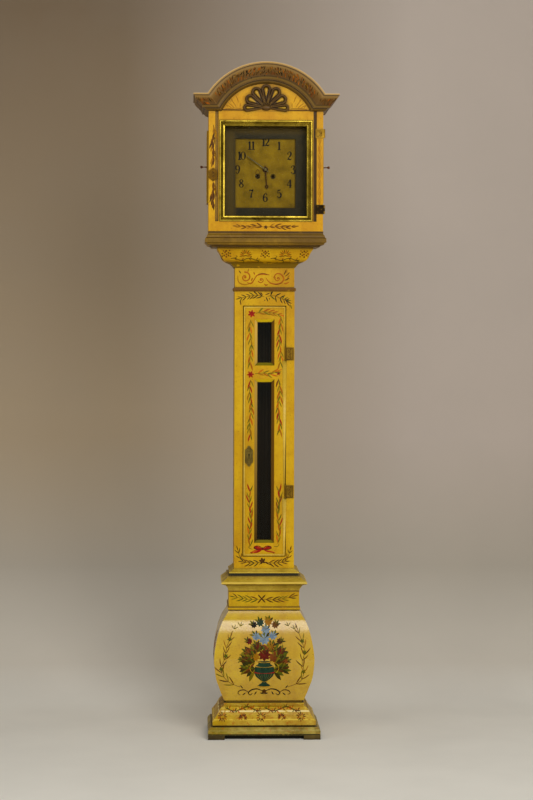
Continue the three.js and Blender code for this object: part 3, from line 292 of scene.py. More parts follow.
def window_tone(shade, ground):
    """Painted light and shade on the bevels of the windows by the way each faces: painted shade, brown on the
    right and olive at the foot, a yellow painted highlight at the head, and on the left brown painted shade
    below going to a pale painted highlight above."""
    front = box_mm("trunk_door_frame")[0].y * MM
    reach = (box_mm("lower_window_glass")[1].x + 10) * MM
    inside = shade.times(shade.spread(shade.axis("Y"), front + 0.0004, front + 0.001),
                         shade.band(shade.axis("X"), -reach, reach, 0.0005))
    x, z = shade.facing("X"), shade.facing("Z")
    # Painted shade and painted highlight on each bevel by the way it faces.
    for amount, colour in (
        (shade.spread(x, -0.3, -0.6), (104, 70, 10)),
        (shade.spread(z, 0.3, 0.6), (116, 104, 10)),
        (shade.spread(z, -0.3, -0.6), (218, 184, 10)),
    ):
        ground = shade.mix(shade.times(inside, amount), ground, linear(*colour))
    foot, head = box_mm("lower_window_glass")[0].z * MM, box_mm("upper_window_glass")[1].z * MM
    # Along the left bevels, painted shade below going to a painted highlight above.
    along = shade.mix(shade.spread(shade.axis("Z"), foot, head), linear(72, 48, 10), linear(222, 178, 80))
    return shade.mix(shade.times(inside, shade.spread(x, 0.3, 0.6)), ground, along)


def cornice_tone(shade, ground):
    """Colours of the cornice by their place across the moulding: fillet, cyma, painted band, soffit."""
    x, z = shade.axis("X"), shade.axis("Z")
    up = shade.math("SUBTRACT", z, ARCH_CENTRE_Z * MM)
    radius = shade.math("SQRT", shade.math("ADD", shade.times(x, x), shade.times(up, up)))
    arch = shade.spread(radius, ARCH_RADIUS * MM, (ARCH_RADIUS - ARCH_WIDTH) * MM)
    level = shade.spread(z, SHOULDER_Z * MM, (SHOULDER_Z - CORNICE_HEIGHT) * MM)
    # The pale first stops, at the outer edge, are rubbed paint with a painted highlight.
    stops = [
        (0.0, (214, 178, 116)), (0.035, (178, 138, 62)), (0.08, (142, 108, 46)), (0.11, (82, 58, 22)),
        (0.16, (142, 108, 50)), (0.3, (122, 88, 36)), (0.45, (104, 72, 28)), (0.6, (92, 62, 22)),
        (0.66, (58, 40, 12)), (0.72, (112, 84, 24)), (0.79, (94, 66, 16)), (0.84, (56, 38, 10)),
        (0.9, (104, 76, 18)), (1.0, (84, 58, 12)),
    ]
    return shade.mix(0.85, ground, shade.ramp(shade.math("MAXIMUM", arch, level), stops))


def seam_tone(node, *lines):
    """Lines round a node, each (first and last share of its height, colour, and, if it is rubbed, the share
    of it worn away).
    Some of them are painted highlight or painted shade, as said where they are used."""

    def tone(shade, ground):
        low, high = (corner.z * MM for corner in box_mm(node))
        z = shade.axis("Z")
        rubbing = shade.noise(45, 4, 0.6)
        for first, last, colour, *worn in lines:
            line = shade.band(z, low + first * (high - low), low + last * (high - low), 0.0006)
            if worn:
                line = shade.times(line, shade.spread(rubbing, 0.3 + 0.4 * worn[0], 0.4 + 0.4 * worn[0]))
            ground = shade.mix(line, ground, linear(*colour))
        return ground

    return tone


FINISHES = {}


def cover(name, nodes, kind, *values, **options):
    """Makes a material of a kind and puts it on the nodes named in a string."""
    FINISHES[name] = kind(name, *values, **options)
    for node in nodes.split():
        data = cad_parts[node].data
        data.materials.clear()
        data.materials.append(FINISHES[name])


def make_finishes():
    olive_line, brown_line, dark_line = (78, 56, 4), (104, 66, 4), (66, 42, 4)
    cover("yellow_lacquer",
          "trunk_front_frame trunk_left_side trunk_right_side left_side_door right_side_door", lacquer,
          *YELLOWS)
    cover("neck_frieze_lacquer", "neck_frieze", lacquer, *YELLOWS,
          tone=seam_tone("neck_frieze", (-0.02, 0.15, (104, 66, 2), 0), (0.12, 0.17, brown_line, 0)))
    cover("bombe_lacquer", "bombe_base_shell", lacquer, (198, 157, 4), (170, 122, 0), (210, 176, 20), DIRT_AND_SHADE,
          1.0, 0.3, polish=0.19, coat=1.66)
    cover("hood_lacquer", "hood_left_side hood_right_side tympanum_board", lacquer, *HOOD_YELLOWS)
    cover("hood_door_lacquer", "hood_door_frame", lacquer, *HOOD_YELLOWS, tone=groove_tone)
    cover("trunk_door_lacquer", "trunk_door_frame", lacquer, *YELLOWS, tone=window_tone)
    cover("base_neck_lacquer", "base_neck_frieze", lacquer, (182, 145, 6), *YELLOWS[1:],
          tone=seam_tone("base_neck_frieze", (0.0, 0.05, olive_line, 0), (0.17, 0.22, olive_line, 0)))
    # The lower cove of the throat is darker, partly its own olive and partly painted shade.
    cover("throat_lacquer", "throat_moulding", lacquer, *YELLOWS,
          tone=seam_tone("throat_moulding", (-0.02, 0.29, (124, 94, 6), 0), (0.27, 0.31, brown_line, 0.3)))
    # The dark band at the top of the hood base moulding is a painted shadow under the hood door.
    cover("ochre_lacquer", "hood_base_moulding", lacquer, (108, 78, 4), (82, 54, 2), (168, 128, 24), DIRT_AND_SHADE,
          0.15, 0.7, seam_tone("hood_base_moulding", (0.0, 0.1, dark_line, 0), (0.56, 0.62, dark_line, 0),
                               (0.9, 1.0, (70, 46, 4), 0)))
    # On the waist moulding the pale lines are painted highlights on the fillet and the ogee, and the dark
    # line under the nose is painted shade.
    cover("waist_lacquer", "waist_moulding", lacquer, (166, 136, 18), (130, 100, 8), (206, 176, 64), DIRT_AND_SHADE,
          0.15, 0.7, seam_tone("waist_moulding", (0.7, 0.81, (30, 42, 36)), (0.82, 0.86, (208, 178, 60)),
                               (0.66, 0.68, (84, 58, 8)), (0.4, 0.47, (216, 184, 76)),
                               (0.31, 0.36, (92, 64, 6)), (-0.01, 0.06, (112, 80, 4))), flake=0.3)
    cover("brown_lacquer", "shell_carving", lacquer, (74, 46, 12), (46, 28, 8), (112, 80, 26), (20, 12, 4),
          0.15, 0.5)
    cover("roof_lacquer", "hood_roof", lacquer, (98, 70, 34), (70, 46, 18), (130, 98, 50), DIRT_AND_SHADE, 0.1, 0.6)
    cover("cornice_lacquer", "hood_cornice", lacquer, (104, 74, 28), (72, 48, 14), (176, 142, 84), DIRT_AND_SHADE, 0.2,
          0.6, cornice_tone)
    # The pale lines on the plinth ogee are rubbed paint with a painted highlight.
    cover("plinth_lacquer", "plinth_ogee_moulding", lacquer, (184, 147, 6), (156, 106, 2), (214, 184, 70),
          DIRT_AND_SHADE, 0.05, 0.7, seam_tone("plinth_ogee_moulding", (-0.01, 0.06, (70, 50, 6), 0),
                                     (0.27, 0.31, (220, 188, 64), 0.1), (0.57, 0.63, (232, 212, 140), 0.2),
                                     (0.9, 0.95, (104, 80, 8), 0.0)), stain=0.7, flake=0.7)
    # The near-black band at the foot of the plinth base moulding is a painted shadow under the plinth.
    cover("plinth_base_lacquer", "plinth_base_moulding", lacquer, (142, 122, 24), (100, 80, 10),
          (184, 164, 78), DIRT_AND_SHADE, 0.05, 0.8, seam_tone("plinth_base_moulding", (-0.05, 0.16, (26, 22, 10), 0)),
          stain=0.8, flake=0.6)
    cover("foot_lacquer", "foot_front_left foot_front_right foot_back_left foot_back_right", lacquer,
          (70, 56, 22), (40, 30, 12), (110, 90, 36), (16, 12, 6), 0.1, 0.6)
    cover("door_bead_lacquer", "", lacquer, (206, 166, 36), (176, 130, 10), (228, 198, 90), DIRT_AND_SHADE, 0.3, 0.8)
    cover("knob_lacquer", "left_side_knob right_side_knob", lacquer, (92, 46, 18), (58, 26, 10),
          (128, 76, 34), (18, 10, 6), 0.5, 0.5)
    cover("shell_lacquer", "", lacquer, (74, 48, 14), (48, 30, 8), (112, 82, 28), (18, 10, 4), 0.1, 0.5)
    cover("shell_gilding", "", lacquer, (190, 142, 10), (150, 102, 6), (220, 180, 60), (60, 38, 6), 0.3, 0.5)
    cover("black_board", "dial_board", lacquer, (42, 35, 6), (26, 22, 4), (54, 46, 12), (8, 6, 2), 0.0, 0.2,
          board_tone)
    # A dark colour for the board under the plinth, as painted shade.
    cover("toe_board_lacquer", "", lacquer, (34, 30, 14), (22, 18, 8), (48, 42, 20), (8, 6, 2), 0.0, 0.2)
    cover("back_wood", "back_board seat_board_and_cheeks", bare_wood, (142, 108, 70), (98, 70, 42))
    brassware = "movement_back_plate minute_wheel hour_wheel escape_wheel pendulum_bob strike_hammer"
    cover("clock_brass", f"{brassware} trunk_lock_bolt", metal, (206, 164, 66), (140, 102, 34), 0.22, 0.4)
    cover("bezel_brass", "hood_bezel", metal, (196, 168, 56), (92, 72, 14), 0.22, 0.38, tarnish=1.0, wave=1.4,
          metallic=0.85)
    cover("dial_brass", "dial_plate", metal, (142, 112, 0), (92, 70, 0), 0.5, 0.65, (0.02, 1, 1), 0.85, 0.0,
          0.2)
    leaves = "hood_hinge_upper_door_leaf hood_hinge_upper_case_leaf hood_hinge_lower_case_leaf"
    cover("hinge_brass", f"trunk_hinge_upper trunk_hinge_lower {leaves}", metal, (158, 122, 36), (96, 70, 20),
          0.4, 0.55, tarnish=0.8, wave=0.2)
    cover("plate_brass", "trunk_door_escutcheon", metal, (124, 106, 48), (74, 60, 26), 0.42, 0.6, tarnish=0.8,
          wave=0.2)
    cover("aged_brass", "hood_door_escutcheon movement_front_plate", metal, (110, 78, 22), (62, 42, 12), 0.42,
          0.6, tarnish=0.8, wave=0.2)
    cover("dark_iron", "time_barrel strike_barrel hood_hinge_lower_door_leaf", metal, (40, 30, 16),
          (16, 12, 8), 0.45, 0.6, tarnish=0.8, wave=0.1)
    cover("bright_steel", "trunk_door_lock centre_arbor anchor_and_crutch pendulum_rod gong_rods_and_block",
          metal, (170, 168, 164), (110, 106, 100), 0.22, 0.4)
    cover("hand_steel", "minute_hand", metal, (92, 82, 50), (40, 34, 18), 0.34, 0.5)
    cover("blued_steel", "hour_hand", metal, (58, 38, 22), (28, 18, 12), 0.35, 0.5)
    cover("hood_window_glass", "hood_glass", pane, 0.06, (20, 20, 10))
    cover("trunk_window_glass", "upper_window_glass lower_window_glass", pane, 0.4, (24, 28, 24))


PAINTS = {
    "green": ((88, 92, 4), (60, 66, 4)),
    "dark": ((58, 54, 6), (38, 38, 4)),
    "black": ((26, 22, 8), (14, 12, 4)),
    "red": ((162, 26, 10), (126, 16, 6)),
    "orange": ((194, 98, 0), (172, 76, 0)),
    "russet": ((122, 62, 14), (92, 44, 8)),
    "maroon": ((104, 26, 8), (66, 14, 4)),
    "rust": ((172, 92, 0), (142, 70, 0)),
    "brown": ((110, 66, 2), (84, 48, 2)),
    "umber": ((82, 48, 4), (58, 34, 2)),
    "gold": ((212, 166, 30), (178, 128, 8)),
    "olive": ((124, 110, 8), (96, 84, 4)),
    "teal": ((30, 62, 44), (20, 42, 30)),
    "pale": ((132, 148, 158), (88, 108, 128)),
    "tan": ((160, 108, 0), (138, 88, 0)),
}
paints = {name: enamel(f"paint_{name}", *pair) for name, pair in PAINTS.items()}


# Meshes
def curve_through(points, steps):
    """A smooth line through points, each a tuple of any length."""
    ends = [points[0]] + list(points) + [points[-1]]
    out = []
    for i in range(1, len(ends) - 2):
        a, b, c, d = ends[i - 1 : i + 3]
        for k in range(steps):
            t = k / steps
            out.append(tuple(
                0.5 * (2 * q + (r - p) * t + (2 * p - 5 * q + 4 * r - s) * t * t
                       + (3 * q - p - 3 * r + s) * t**3)
                for p, q, r, s in zip(a, b, c, d)
            ))
    return out + [tuple(points[-1])]


class Build:
    """A mesh put together from grids of points, in millimetres."""

    def __init__(self):
        self.verts, self.faces, self.slots = [], [], []

    def grid(self, rows, slot=0, around=False, joined=False, caps=0):
        """Faces over rows of points. Each row may close around, and the last row may be joined to the
        first. One cap fills the last row, and two fill the first one too."""
        start, wide, count = len(self.verts), len(rows[0]), len(rows)
        for row in rows:
            self.verts += row
        for i in range(count if joined else count - 1):
            here, there = start + i * wide, start + (i + 1) % count * wide
            for k in range(wide if around else wide - 1):
                after = (k + 1) % wide
                self.faces.append([here + k, here + after, there + after, there + k])
        if caps > 1:
            self.faces.append([start + k for k in range(wide)][::-1])
        if caps:
            self.faces.append([start + (count - 1) * wide + k for k in range(wide)])
        self.slots += [slot] * (len(self.faces) - len(self.slots))

    def show(self, name, materials, body, smooth=True, slot="yellow_paint"):
        mesh = bpy.data.meshes.new(name)
        mesh.from_pydata([Vector(v) * MM for v in self.verts], [], self.faces)
        for material in materials:
            mesh.materials.append(material)
        mesh.polygons.foreach_set("material_index", self.slots)
        mesh.polygons.foreach_set("use_smooth", [smooth] * len(mesh.polygons))
        mesh.update()
        made = bpy.data.objects.new(name, mesh)
        bpy.context.collection.objects.link(made)
        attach(made, body)
        return made


# Pieces that stand for a node and carry its paint.
ROUNDED = {}


def rounded_moulding(node, name, material):
    """A copy of a moulding whose straight runs of section become one curve, with its corners kept crisp."""
    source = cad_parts[node].data
    levels = sorted({round(v.co.z, 6) for v in source.vertices})
    section = []
    for z in levels:
        row = [v.co for v in source.vertices if abs(v.co.z - z) < 1e-5]
        section.append((z, max(co.x for co in row), min(co.y for co in row)))
    fine = curve_through(section, 5)
    work = bmesh.new()
    work.from_mesh(source)
    for z, _, _ in fine[1:-1]:
        if min(abs(z - level) for level in levels) > 1e-5:
            parts = work.verts[:] + work.edges[:] + work.faces[:]
            bmesh.ops.bisect_plane(work, geom=parts, plane_co=(0, 0, z), plane_no=(0, 0, 1))
    for vert in work.verts:
        z, x, y = min(fine, key=lambda row: abs(row[0] - vert.co.z))
        k = max(i for i, row in enumerate(section) if row[0] <= vert.co.z + 1e-5)
        (z0, x0, y0), (z1, x1, y1) = section[k], section[min(k + 1, len(section) - 1)]
        share = (vert.co.z - z0) / (z1 - z0) if z1 > z0 else 0
        if abs(abs(vert.co.x) - (x0 + (x1 - x0) * share)) < 1e-5:
            vert.co.x = math.copysign(x, vert.co.x)
        if abs(vert.co.y - (y0 + (y1 - y0) * share)) < 1e-5:
            vert.co.y = y
    mesh = bpy.data.meshes.new(name)
    work.to_mesh(mesh)
    work.free()
    mesh.materials.clear()
    mesh.materials.append(material)
    mesh.polygons.foreach_set("use_smooth", [True] * len(mesh.polygons))
    mesh.set_sharp_from_angle(angle=math.radians(20))
    made = bpy.data.objects.new(name, mesh)
    bpy.context.collection.objects.link(made)
    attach(made, "case")
    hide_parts(node)
    ROUNDED[node] = made


class Surface:
    """One side of a node. A point (u, v) is in millimetres across and up from the origin of the side,
    and lands where a straight look from that side meets the node."""

    def __init__(self, node, side="front", level=0.5):
        mesh = ROUNDED.get(node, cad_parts[node]).data
        verts = [v.co / MM for v in mesh.vertices]
        self.tree = BVHTree.FromPolygons(verts, [polygon.vertices[:] for polygon in mesh.polygons])
        low, high = box_mm(node)
        self.origin = (low + high) / 2
        self.origin.z = low.z + level * (high.z - low.z)
        self.way = SIDES[side]

    def __call__(self, u, v, lift):
        across = Vector((1, 0, 0)) if self.way.y else Vector((0, 1, 0))
        start = self.origin + across * u + Vector((0, 0, v))
        hit, normal, _, _ = self.tree.ray_cast(start - self.way * FAR, self.way)
        if hit is None:
            hit, normal, _, _ = self.tree.find_nearest(start)
        return hit + normal * lift


class Relief(Build):
    """Raised paint on a surface. Points are (u, v) on the surface, and lift is how far they stand off it."""

    def __init__(self, name, surface, thick=PAINT_THICKNESS, body="case", **place):
        super().__init__()
        self.surface = Surface(surface, **place) if isinstance(surface, str) else surface
        self.name, self.thick, self.body, self.colours = name, thick, body, []

    def slot_of(self, colour):
        if colour not in self.colours:
            self.colours.append(colour)
        return self.colours.index(colour)

    def stroke(self, points, widths, colour, thick=None, steps=4):
        """A line of changing width with a raised middle."""
        thick = self.thick if thick is None else thick
        if isinstance(widths, (int, float)):
            widths = [widths] * len(points)
        line = curve_through([(*p, w) for p, w in zip(points, widths)], steps)
        rows = []
        for i, (u, v, width) in enumerate(line):
            before, after = line[max(i - 1, 0)], line[min(i + 1, len(line) - 1)]
            du, dv = after[0] - before[0], after[1] - before[1]
            size = math.hypot(du, dv) or 1
            nu, nv = -dv / size * width / 2, du / size * width / 2
            lift = RIM_LIFT + thick * min(1, abs(width))
            spots = (u + nu, v + nv, RIM_LIFT), (u, v, lift), (u - nu, v - nv, RIM_LIFT)
            rows.append([self.surface(*spot) for spot in spots])
        self.grid(rows, self.slot_of(colour))

    def leaf(self, u, v, angle, length, width, colour, bend=0.0, thick=None):
        """A pointed leaf from (u, v) towards angle, in degrees from +u, curling by bend degrees."""
        points, widths = [], []
        heading = math.radians(angle)
        for i in range(5):
            share = i / 4
            points.append((u, v))
            widths.append(width * math.sin(math.pi * min(1, 0.06 + share * 0.9)) ** 0.8)
            step = length / 4
            u += math.cos(heading) * step
            v += math.sin(heading) * step
            heading += math.radians(bend) / 4
        widths[-1] = 0.02
        self.stroke(points, widths, colour, thick, 2)

    def leaves(self, spots, width, colours, bend=0, side=1):
        """Leaves at (u, v, angle, length), mirrored if side is -1, in one colour or in any of a list."""
        for u, v, turn, size in spots:
            colour = colours if isinstance(colours, str) else random.choice(colours)
            self.leaf(side * u, v, mirrored(side, turn), size, width, colour, bend)

    def dot(self, u, v, radius, colour, sides=8):
        start = len(self.verts)
        for i in range(sides):
            turn = 2 * math.pi * i / sides
            du, dv = radius * math.cos(turn), radius * math.sin(turn)
            self.verts.append(self.surface(u + du, v + dv, RIM_LIFT))
            self.faces.append([start + i, start + (i + 1) % sides, start + sides])
            self.slots.append(self.slot_of(colour))
        self.verts.append(self.surface(u, v, RIM_LIFT + self.thick))

    def flower(self, u, v, radius, petals, colour, heart, turn=0.0, width=0.6):
        for i in range(petals):
            self.leaf(u, v, turn + 360 * i / petals, radius, radius * width, colour)
        self.dot(u, v, radius * 0.22, heart)

    def spray(self, points, leaf, count, colours, stem_colour="green", stem=0.8, spread=35, slim=0.2):
        """A stem through points with leaves in pairs along it and one at its tip."""
        self.stroke(points, stem, stem_colour, steps=6)
        line = curve_through(points, 12)
        for i in range(count):
            share = 0.06 + 0.94 * (i + 0.5) / count
            k = min(int(share * (len(line) - 1)), len(line) - 2)
            (u0, v0), (u1, v1) = line[k], line[k + 1]
            heading = math.degrees(math.atan2(v1 - v0, u1 - u0))
            size = leaf * (1.05 - 0.3 * share) * random.uniform(0.85, 1.15)
            for way in (-1, 1):
                turn = heading + way * spread * random.uniform(0.8, 1.2)
                self.leaf(u0, v0, turn, size, size * slim, random.choice(colours), -way * 16)
        (u0, v0), (u1, v1) = line[-2:]
        heading = math.degrees(math.atan2(v1 - v0, u1 - u0))
        self.leaf(u1, v1, heading, leaf * 0.8, leaf * slim * 0.8, colours[0])

    def spiral(self, u, v, radius, turns, start, colour, width=1.0, way=1):
        """A scroll that winds inwards from radius, starting at the angle start."""
        count = max(6, int(turns * 9))
        points, widths = [], []
        for i in range(count + 1):
            share = i / count
            angle = math.radians(start) + way * 2 * math.pi * turns * share
            size = radius * (1 - share) ** 0.8
            points.append((u + size * math.cos(angle), v + size * math.sin(angle)))
            widths.append(width * (1 - 0.5 * share))
        self.stroke(points, widths, colour, steps=2)
        self.dot(u, v, width * 0.9, colour, 6)

    def finish(self):
        self.show(self.name, [paints[colour] for colour in self.colours], self.body)


def mirrored(side, angle):
    return angle if side > 0 else 180 - angle


def placed(side, points, x=0, z=0):
    """Points shifted to (x, z), and mirrored if side is -1."""
    return [(x + side * u, z + v) for u, v in points]


def ring(x, z, radius):
    """Points round a circle, the first one again at its end."""
    turns = [2 * math.pi * k / 16 for k in range(17)]
    return [(x + radius * math.cos(turn), z + radius * math.sin(turn)) for turn in turns]


def jitter(amount):
    return random.uniform(-amount, amount)


# Decoration of the hood
def cornice_surface():
    """The arched cornice, with points as (way round the arch from its top, way in from its edge)."""
    front = Surface("hood_cornice", level=0)
    centre = ARCH_CENTRE_Z - front.origin.z

    def place(u, v, lift):
        angle, radius = u / ARCH_RADIUS, ARCH_RADIUS - v
        return front(radius * math.sin(angle), centre + radius * math.cos(angle), lift)

    return place


def decorate_cornice():
    band = Relief("cornice_arch_painting", cornice_surface())
    colours = ["umber", "umber", "brown", "russet", "rust", "black"]
    reach, count, flecks = 188, 54, 90
    for i in range(count):
        u = reach * (2 * (i + 0.5) / count - 1)
        for v in (15, 26):
            turn = 90 + random.uniform(10, 55) * (1 if u < 0 else -1)
            band.leaf(u + jitter(3), v + jitter(3), turn, 13 * random.uniform(0.7, 1.1), 2.7,
                      random.choice(colours), jitter(40))
    for i in range(flecks):
        u = reach * (2 * (i + 0.5) / flecks - 1) + jitter(2)
        band.dot(u, random.uniform(14, 40), random.uniform(1.1, 2.3),
                 random.choice(["rust", "russet", "black", "tan"]), 5)
    band.finish()
    ends = Relief("cornice_shoulder_painting", "hood_cornice", level=0)
    for side in (-1, 1):
        for i in range(12):
            u = 154 + 4.4 * i
            for v, size in ((15, 12), (25, 10)):
                if u + v > 174:
                    ends.leaf(side * u, v + jitter(2), mirrored(side, random.uniform(30, 80)), size, 2.4,
                              random.choice(colours), 10)
    ends.finish()


def decorate_tympanum():
    art = Relief("tympanum_painting", "tympanum_board", 0.3, level=0)
    rays = ((86, 10, 62, 28), (92, 8, 48, 24), (100, 8, 40, 18), (80, 24, 75, 24), (96, 26, 66, 18),
            (110, 9, 60, 14), (76, 10, 100, 14))
    for side in (-1, 1):
        art.leaves(rays, 2.2, "tan", -side * 20, side)
        art.stroke(placed(side, [(60, 2.6), (100, 3.0), (144, 2.6)]), [3.2, 3.8, 3.2], "umber")
        art.stroke(placed(side, [(72, 7), (94, 8), (118, 6)]), 1.3, "brown")
    art.finish()


def decorate_hood_door():
    rail = Relief("hood_door_rail_painting", "hood_door_frame", body="hood_door", level=0)
    for side in (-1, 1):
        points = placed(side, [(3, -2), (26, 1.5), (54, -1.5), (80, 0.5)], z=13.5)
        rail.spray(points, 21, 5, ["brown", "tan", "brown"], "brown", 1.2, 24, slim=0.18)
    rail.flower(0, 12, 6, 5, "umber", "brown", 12)
    rail.finish()
    art = Relief("hood_door_stile_painting", "hood_door_frame", 0.35, "hood_door")
    left = -154
    art.spray(placed(1, [(1, 134), (5, 108), (-2, 76), (3, 50), (0, 30)], left), 25, 9,
              ["brown", "tan", "brown", "umber"], "brown", 1.8, 20, slim=0.22)
    art.spray(placed(1, [(0, -26), (4, -52), (-1, -76), (1, -94)], left), 26, 6, ["umber", "brown", "brown"],
              "brown", 1.8, 17, slim=0.22)
    # Two waves that cross make a chain of ovals down the right stile.
    low, high, right = -96, 104, 155.5
    for way in (-1, 1):
        points = [(right + way * (3.6 + random.uniform(0, 1.4)) * math.sin(math.pi * k / 4),
                   low + (high - low) * k / 32) for k in range(33)]
        art.stroke(points, 1.1, "tan", steps=2)
    for k in range(8):
        z = low + (high - low) * (k + 0.5) / 8
        art.leaf(right + jitter(1), z - 9, 90, 17, 2.0, "tan" if k % 3 else "rust")
    engrave("hood_hinge_upper_door_leaf", "hood_door")
    engrave("hood_door_escutcheon", "hood_door", 5)
    art.finish()


def wave(start, length, height, rise, rate, lead=0.0):
    """Thirteen points along a wavy stem."""
    return [(start + length * k / 12, height + rise * math.sin(k * rate + lead)) for k in range(13)]


def decorate_throat():
    art = Relief("throat_painting", "throat_moulding")
    grapes = ((0, 19, 2.6), (0, 11, 2.4), (0, 3, 2.4), (-5, 15, 2.2), (5, 15, 2.2), (-6, 7, 2.4), (6, 7, 2.4),
              (-11, 12, 2.2), (11, 12, 2.2), (-9, 20, 1.9), (9, 20, 1.9), (-12, 4, 1.9), (12, 4, 1.9))
    for x in (-115, 0, 115):
        for du, dv, radius in grapes:
            art.dot(x * 0.985 + du + jitter(1), dv - 1 + jitter(1), radius * 1.15,
                    random.choice(["umber", "russet", "brown"]), 6)
    for x in (-57, 58.5):
        for i in range(10):
            angle = -10 + 200 * i / 9
            u, v = x + 6 * math.cos(math.radians(angle)), 6 + 5 * math.sin(math.radians(angle))
            art.leaf(u, v, angle, 13, 2.8, "brown" if i % 2 else "rust")
        art.stroke([(x - 8, 3), (x, 5.5), (x + 8, 3)], [1.2, 2.6, 1.2], "brown")
    for start in (-100, 16):
        points = wave(start, 84, -5, 3.2, 0.95, 0.6)
        art.stroke(points, 1.8, "dark", steps=4)
        for k in (1, 4, 7, 10):
            u, v = points[k]
            way = 1 if k % 2 else -1
            art.stroke([(u, v), (u + 7, v + way), (u + 11, v + way * 5), (u + 7, v + way * 7)],
                       [1.6, 1.8, 1.8, 1.0], "dark")
            art.leaf(u + 4, v, way * -50, 9, 2.4, "russet", 20)
    art.finish()


def decorate_neck():
    art = Relief("neck_frieze_painting", "neck_frieze")
    art.spiral(-57, 7, 16, 1.3, 100, "rust", 4.2, -1)
    art.stroke([(-52, -9), (-40, -11), (-31, 0), (-24, 11), (-10, 16), (14, 14)], [2, 4, 3, 3, 4, 1.4],
               "rust")
    art.stroke([(-20, 15.5), (-4, 18), (12, 14)], [1, 3, 1], "russet")
    art.stroke([(-79, 12), (-77, -6), (-64, -14), (-46, -13)], [1.4, 3.2, 3.6, 1.4], "tan")
    art.spiral(-11, -1, 9, 1.2, 200, "rust", 3.2, 1)
    art.stroke([(4, 5), (10, -4), (20, -11), (34, -13), (48, -9), (56, 3), (47, 16), (34, 17), (26, 6)],
               [1.4, 3, 3.6, 3.8, 3.8, 3.8, 3.8, 3.2, 2.4], "rust")
    art.spiral(38, 4, 9, 1.1, 150, "rust", 3.0, 1)
    art.stroke([(22, -11), (36, -13.5), (52, -9)], [1, 3.4, 1.2], "russet", 0.6)
    art.leaves(((56, 14, 60, 17), (60, 10, 35, 18), (58, -2, 20, 17), (56, -12, 10, 17), (-70, 18, 120, 11),
                (-50, 22, 70, 11), (-2, -12, -40, 11), (10, -14, 200, 10), (64, 20, 80, 11),
                (-40, -4, 60, 11), (-30, 14, 100, 9), (66, 4, 50, 12)), 3.6, ["rust", "tan", "brown"], 20)
    art.finish()


# Decoration of the trunk
def decorate_trunk_frame():
    dark = ["dark", "black", "green", "umber"]
    top = Relief("trunk_top_painting", "trunk_front_frame", level=1)
    top.spray([(-2, -16), (-24, -11), (-48, -15), (-70, -20)], 19, 6, dark, "dark", 1.2, 40, slim=0.17)
    top.spray([(8, -14), (28, -13), (46, -20), (60, -26)], 18, 4, dark, "dark", 1.2, 56, slim=0.18)
    top.leaves(((62, -27, -30, 20), (62, -27, -58, 22), (62, -27, 0, 16), (62, -27, 30, 13),
                (52, -22, 60, 14), (-72, -24, -84, 18), (76, -38, -80, 14), (2, -10, 20, 15),
                (4, -16, -70, 15), (-6, -12, 120, 13), (18, -10, 80, 12), (32, -18, -80, 13)), 3.0, dark, 10)
    for u, v in ((6, -20), (0, -26), (14, -22)):
        top.dot(u, v, 1.8, "black", 6)
    top.dot(62, -24, 2.4, "russet")
    top.finish()
    foot = Relief("trunk_foot_painting", "trunk_front_frame", level=0)
    for side in (-1, 1):
        foot.spray(placed(side, [(6, 19), (28, 16), (50, 18), (67, 26), (76, 52)]), 20, 7,
                   ["umber", "dark", "brown"], "umber", 1.2, 36, slim=0.16)
    foot.stroke([(-10, 24), (8, 16), (26, 8)], [1.2, 3.4, 1.2], "umber", 0.6)
    foot.stroke([(-14, 12), (-2, 20), (2, 30)], [1.0, 3.0, 1.0], "black", 0.6)
    foot.flower(-5, 22, 10, 5, "umber", "black", 30)
    foot.finish()


def garland(art, x, start, end, colours, sway=3.0):
    """A stem from start to end with long slim leaves that lie close along it."""
    length = abs(end - start)
    way = 1 if end > start else -1
    count = max(3, int(length / 26))
    points = [(x + sway * math.sin(k * 1.7 + x), start + way * length * k / count) for k in range(count + 1)]
    art.stroke(points, 1.2, "green", steps=5)
    line = curve_through(points, 12)
    amount = int(length / 15)
    for i in range(amount):
        k = min(int((i + 0.3) / amount * (len(line) - 1)), len(line) - 2)
        u, v = line[k]
        side = 1 if i % 2 else -1
        size = random.uniform(22, 29)
        turn = way * (90 - side * random.uniform(12, 26))
        art.leaf(u, v, turn, size, random.uniform(3.4, 4.8), random.choice(colours), way * side * 12)
        turn = way * (90 + side * random.uniform(16, 30))
        art.leaf(u, v, turn, size * 0.8, 3.0, random.choice(["green", "olive", "olive"]), -way * side * 12)


def bow(art, x, z):
    """A red ribbon bow with two filled loops and two ragged tails, the left one broad."""
    for side, broad in ((-1, 1.5), (1, 0.8)):
        art.leaf(x, z, mirrored(side, 14), 27, 11, "red", side * 4, 0.5)
        art.stroke(placed(side, [(0, 0), (10, 7), (20, 7), (25, 2), (13, -2), (0, 0)], x, z),
                   [2, 3.4, 3.8, 3, 3, 2], "maroon", 0.7)
        art.leaf(x + side * 3, z + 2, mirrored(side, 30), 15, 4, "orange", 0, 0.8)
        art.stroke(placed(side, [(0, 0), (11, -6), (22, -8), (37, -12)], x, z),
                   [2, 5 * broad, 6 * broad, 1.2], "red", 0.7)
        art.leaf(x + side * 15, z - 5, mirrored(side, -18), 20, 4.5 * broad, "orange", 8, 0.9)
        art.leaf(x + side * 24, z - 7, mirrored(side, -34), 12, 3 * broad, "maroon", 0, 0.6)
    art.dot(x, z, 4.5, "maroon")


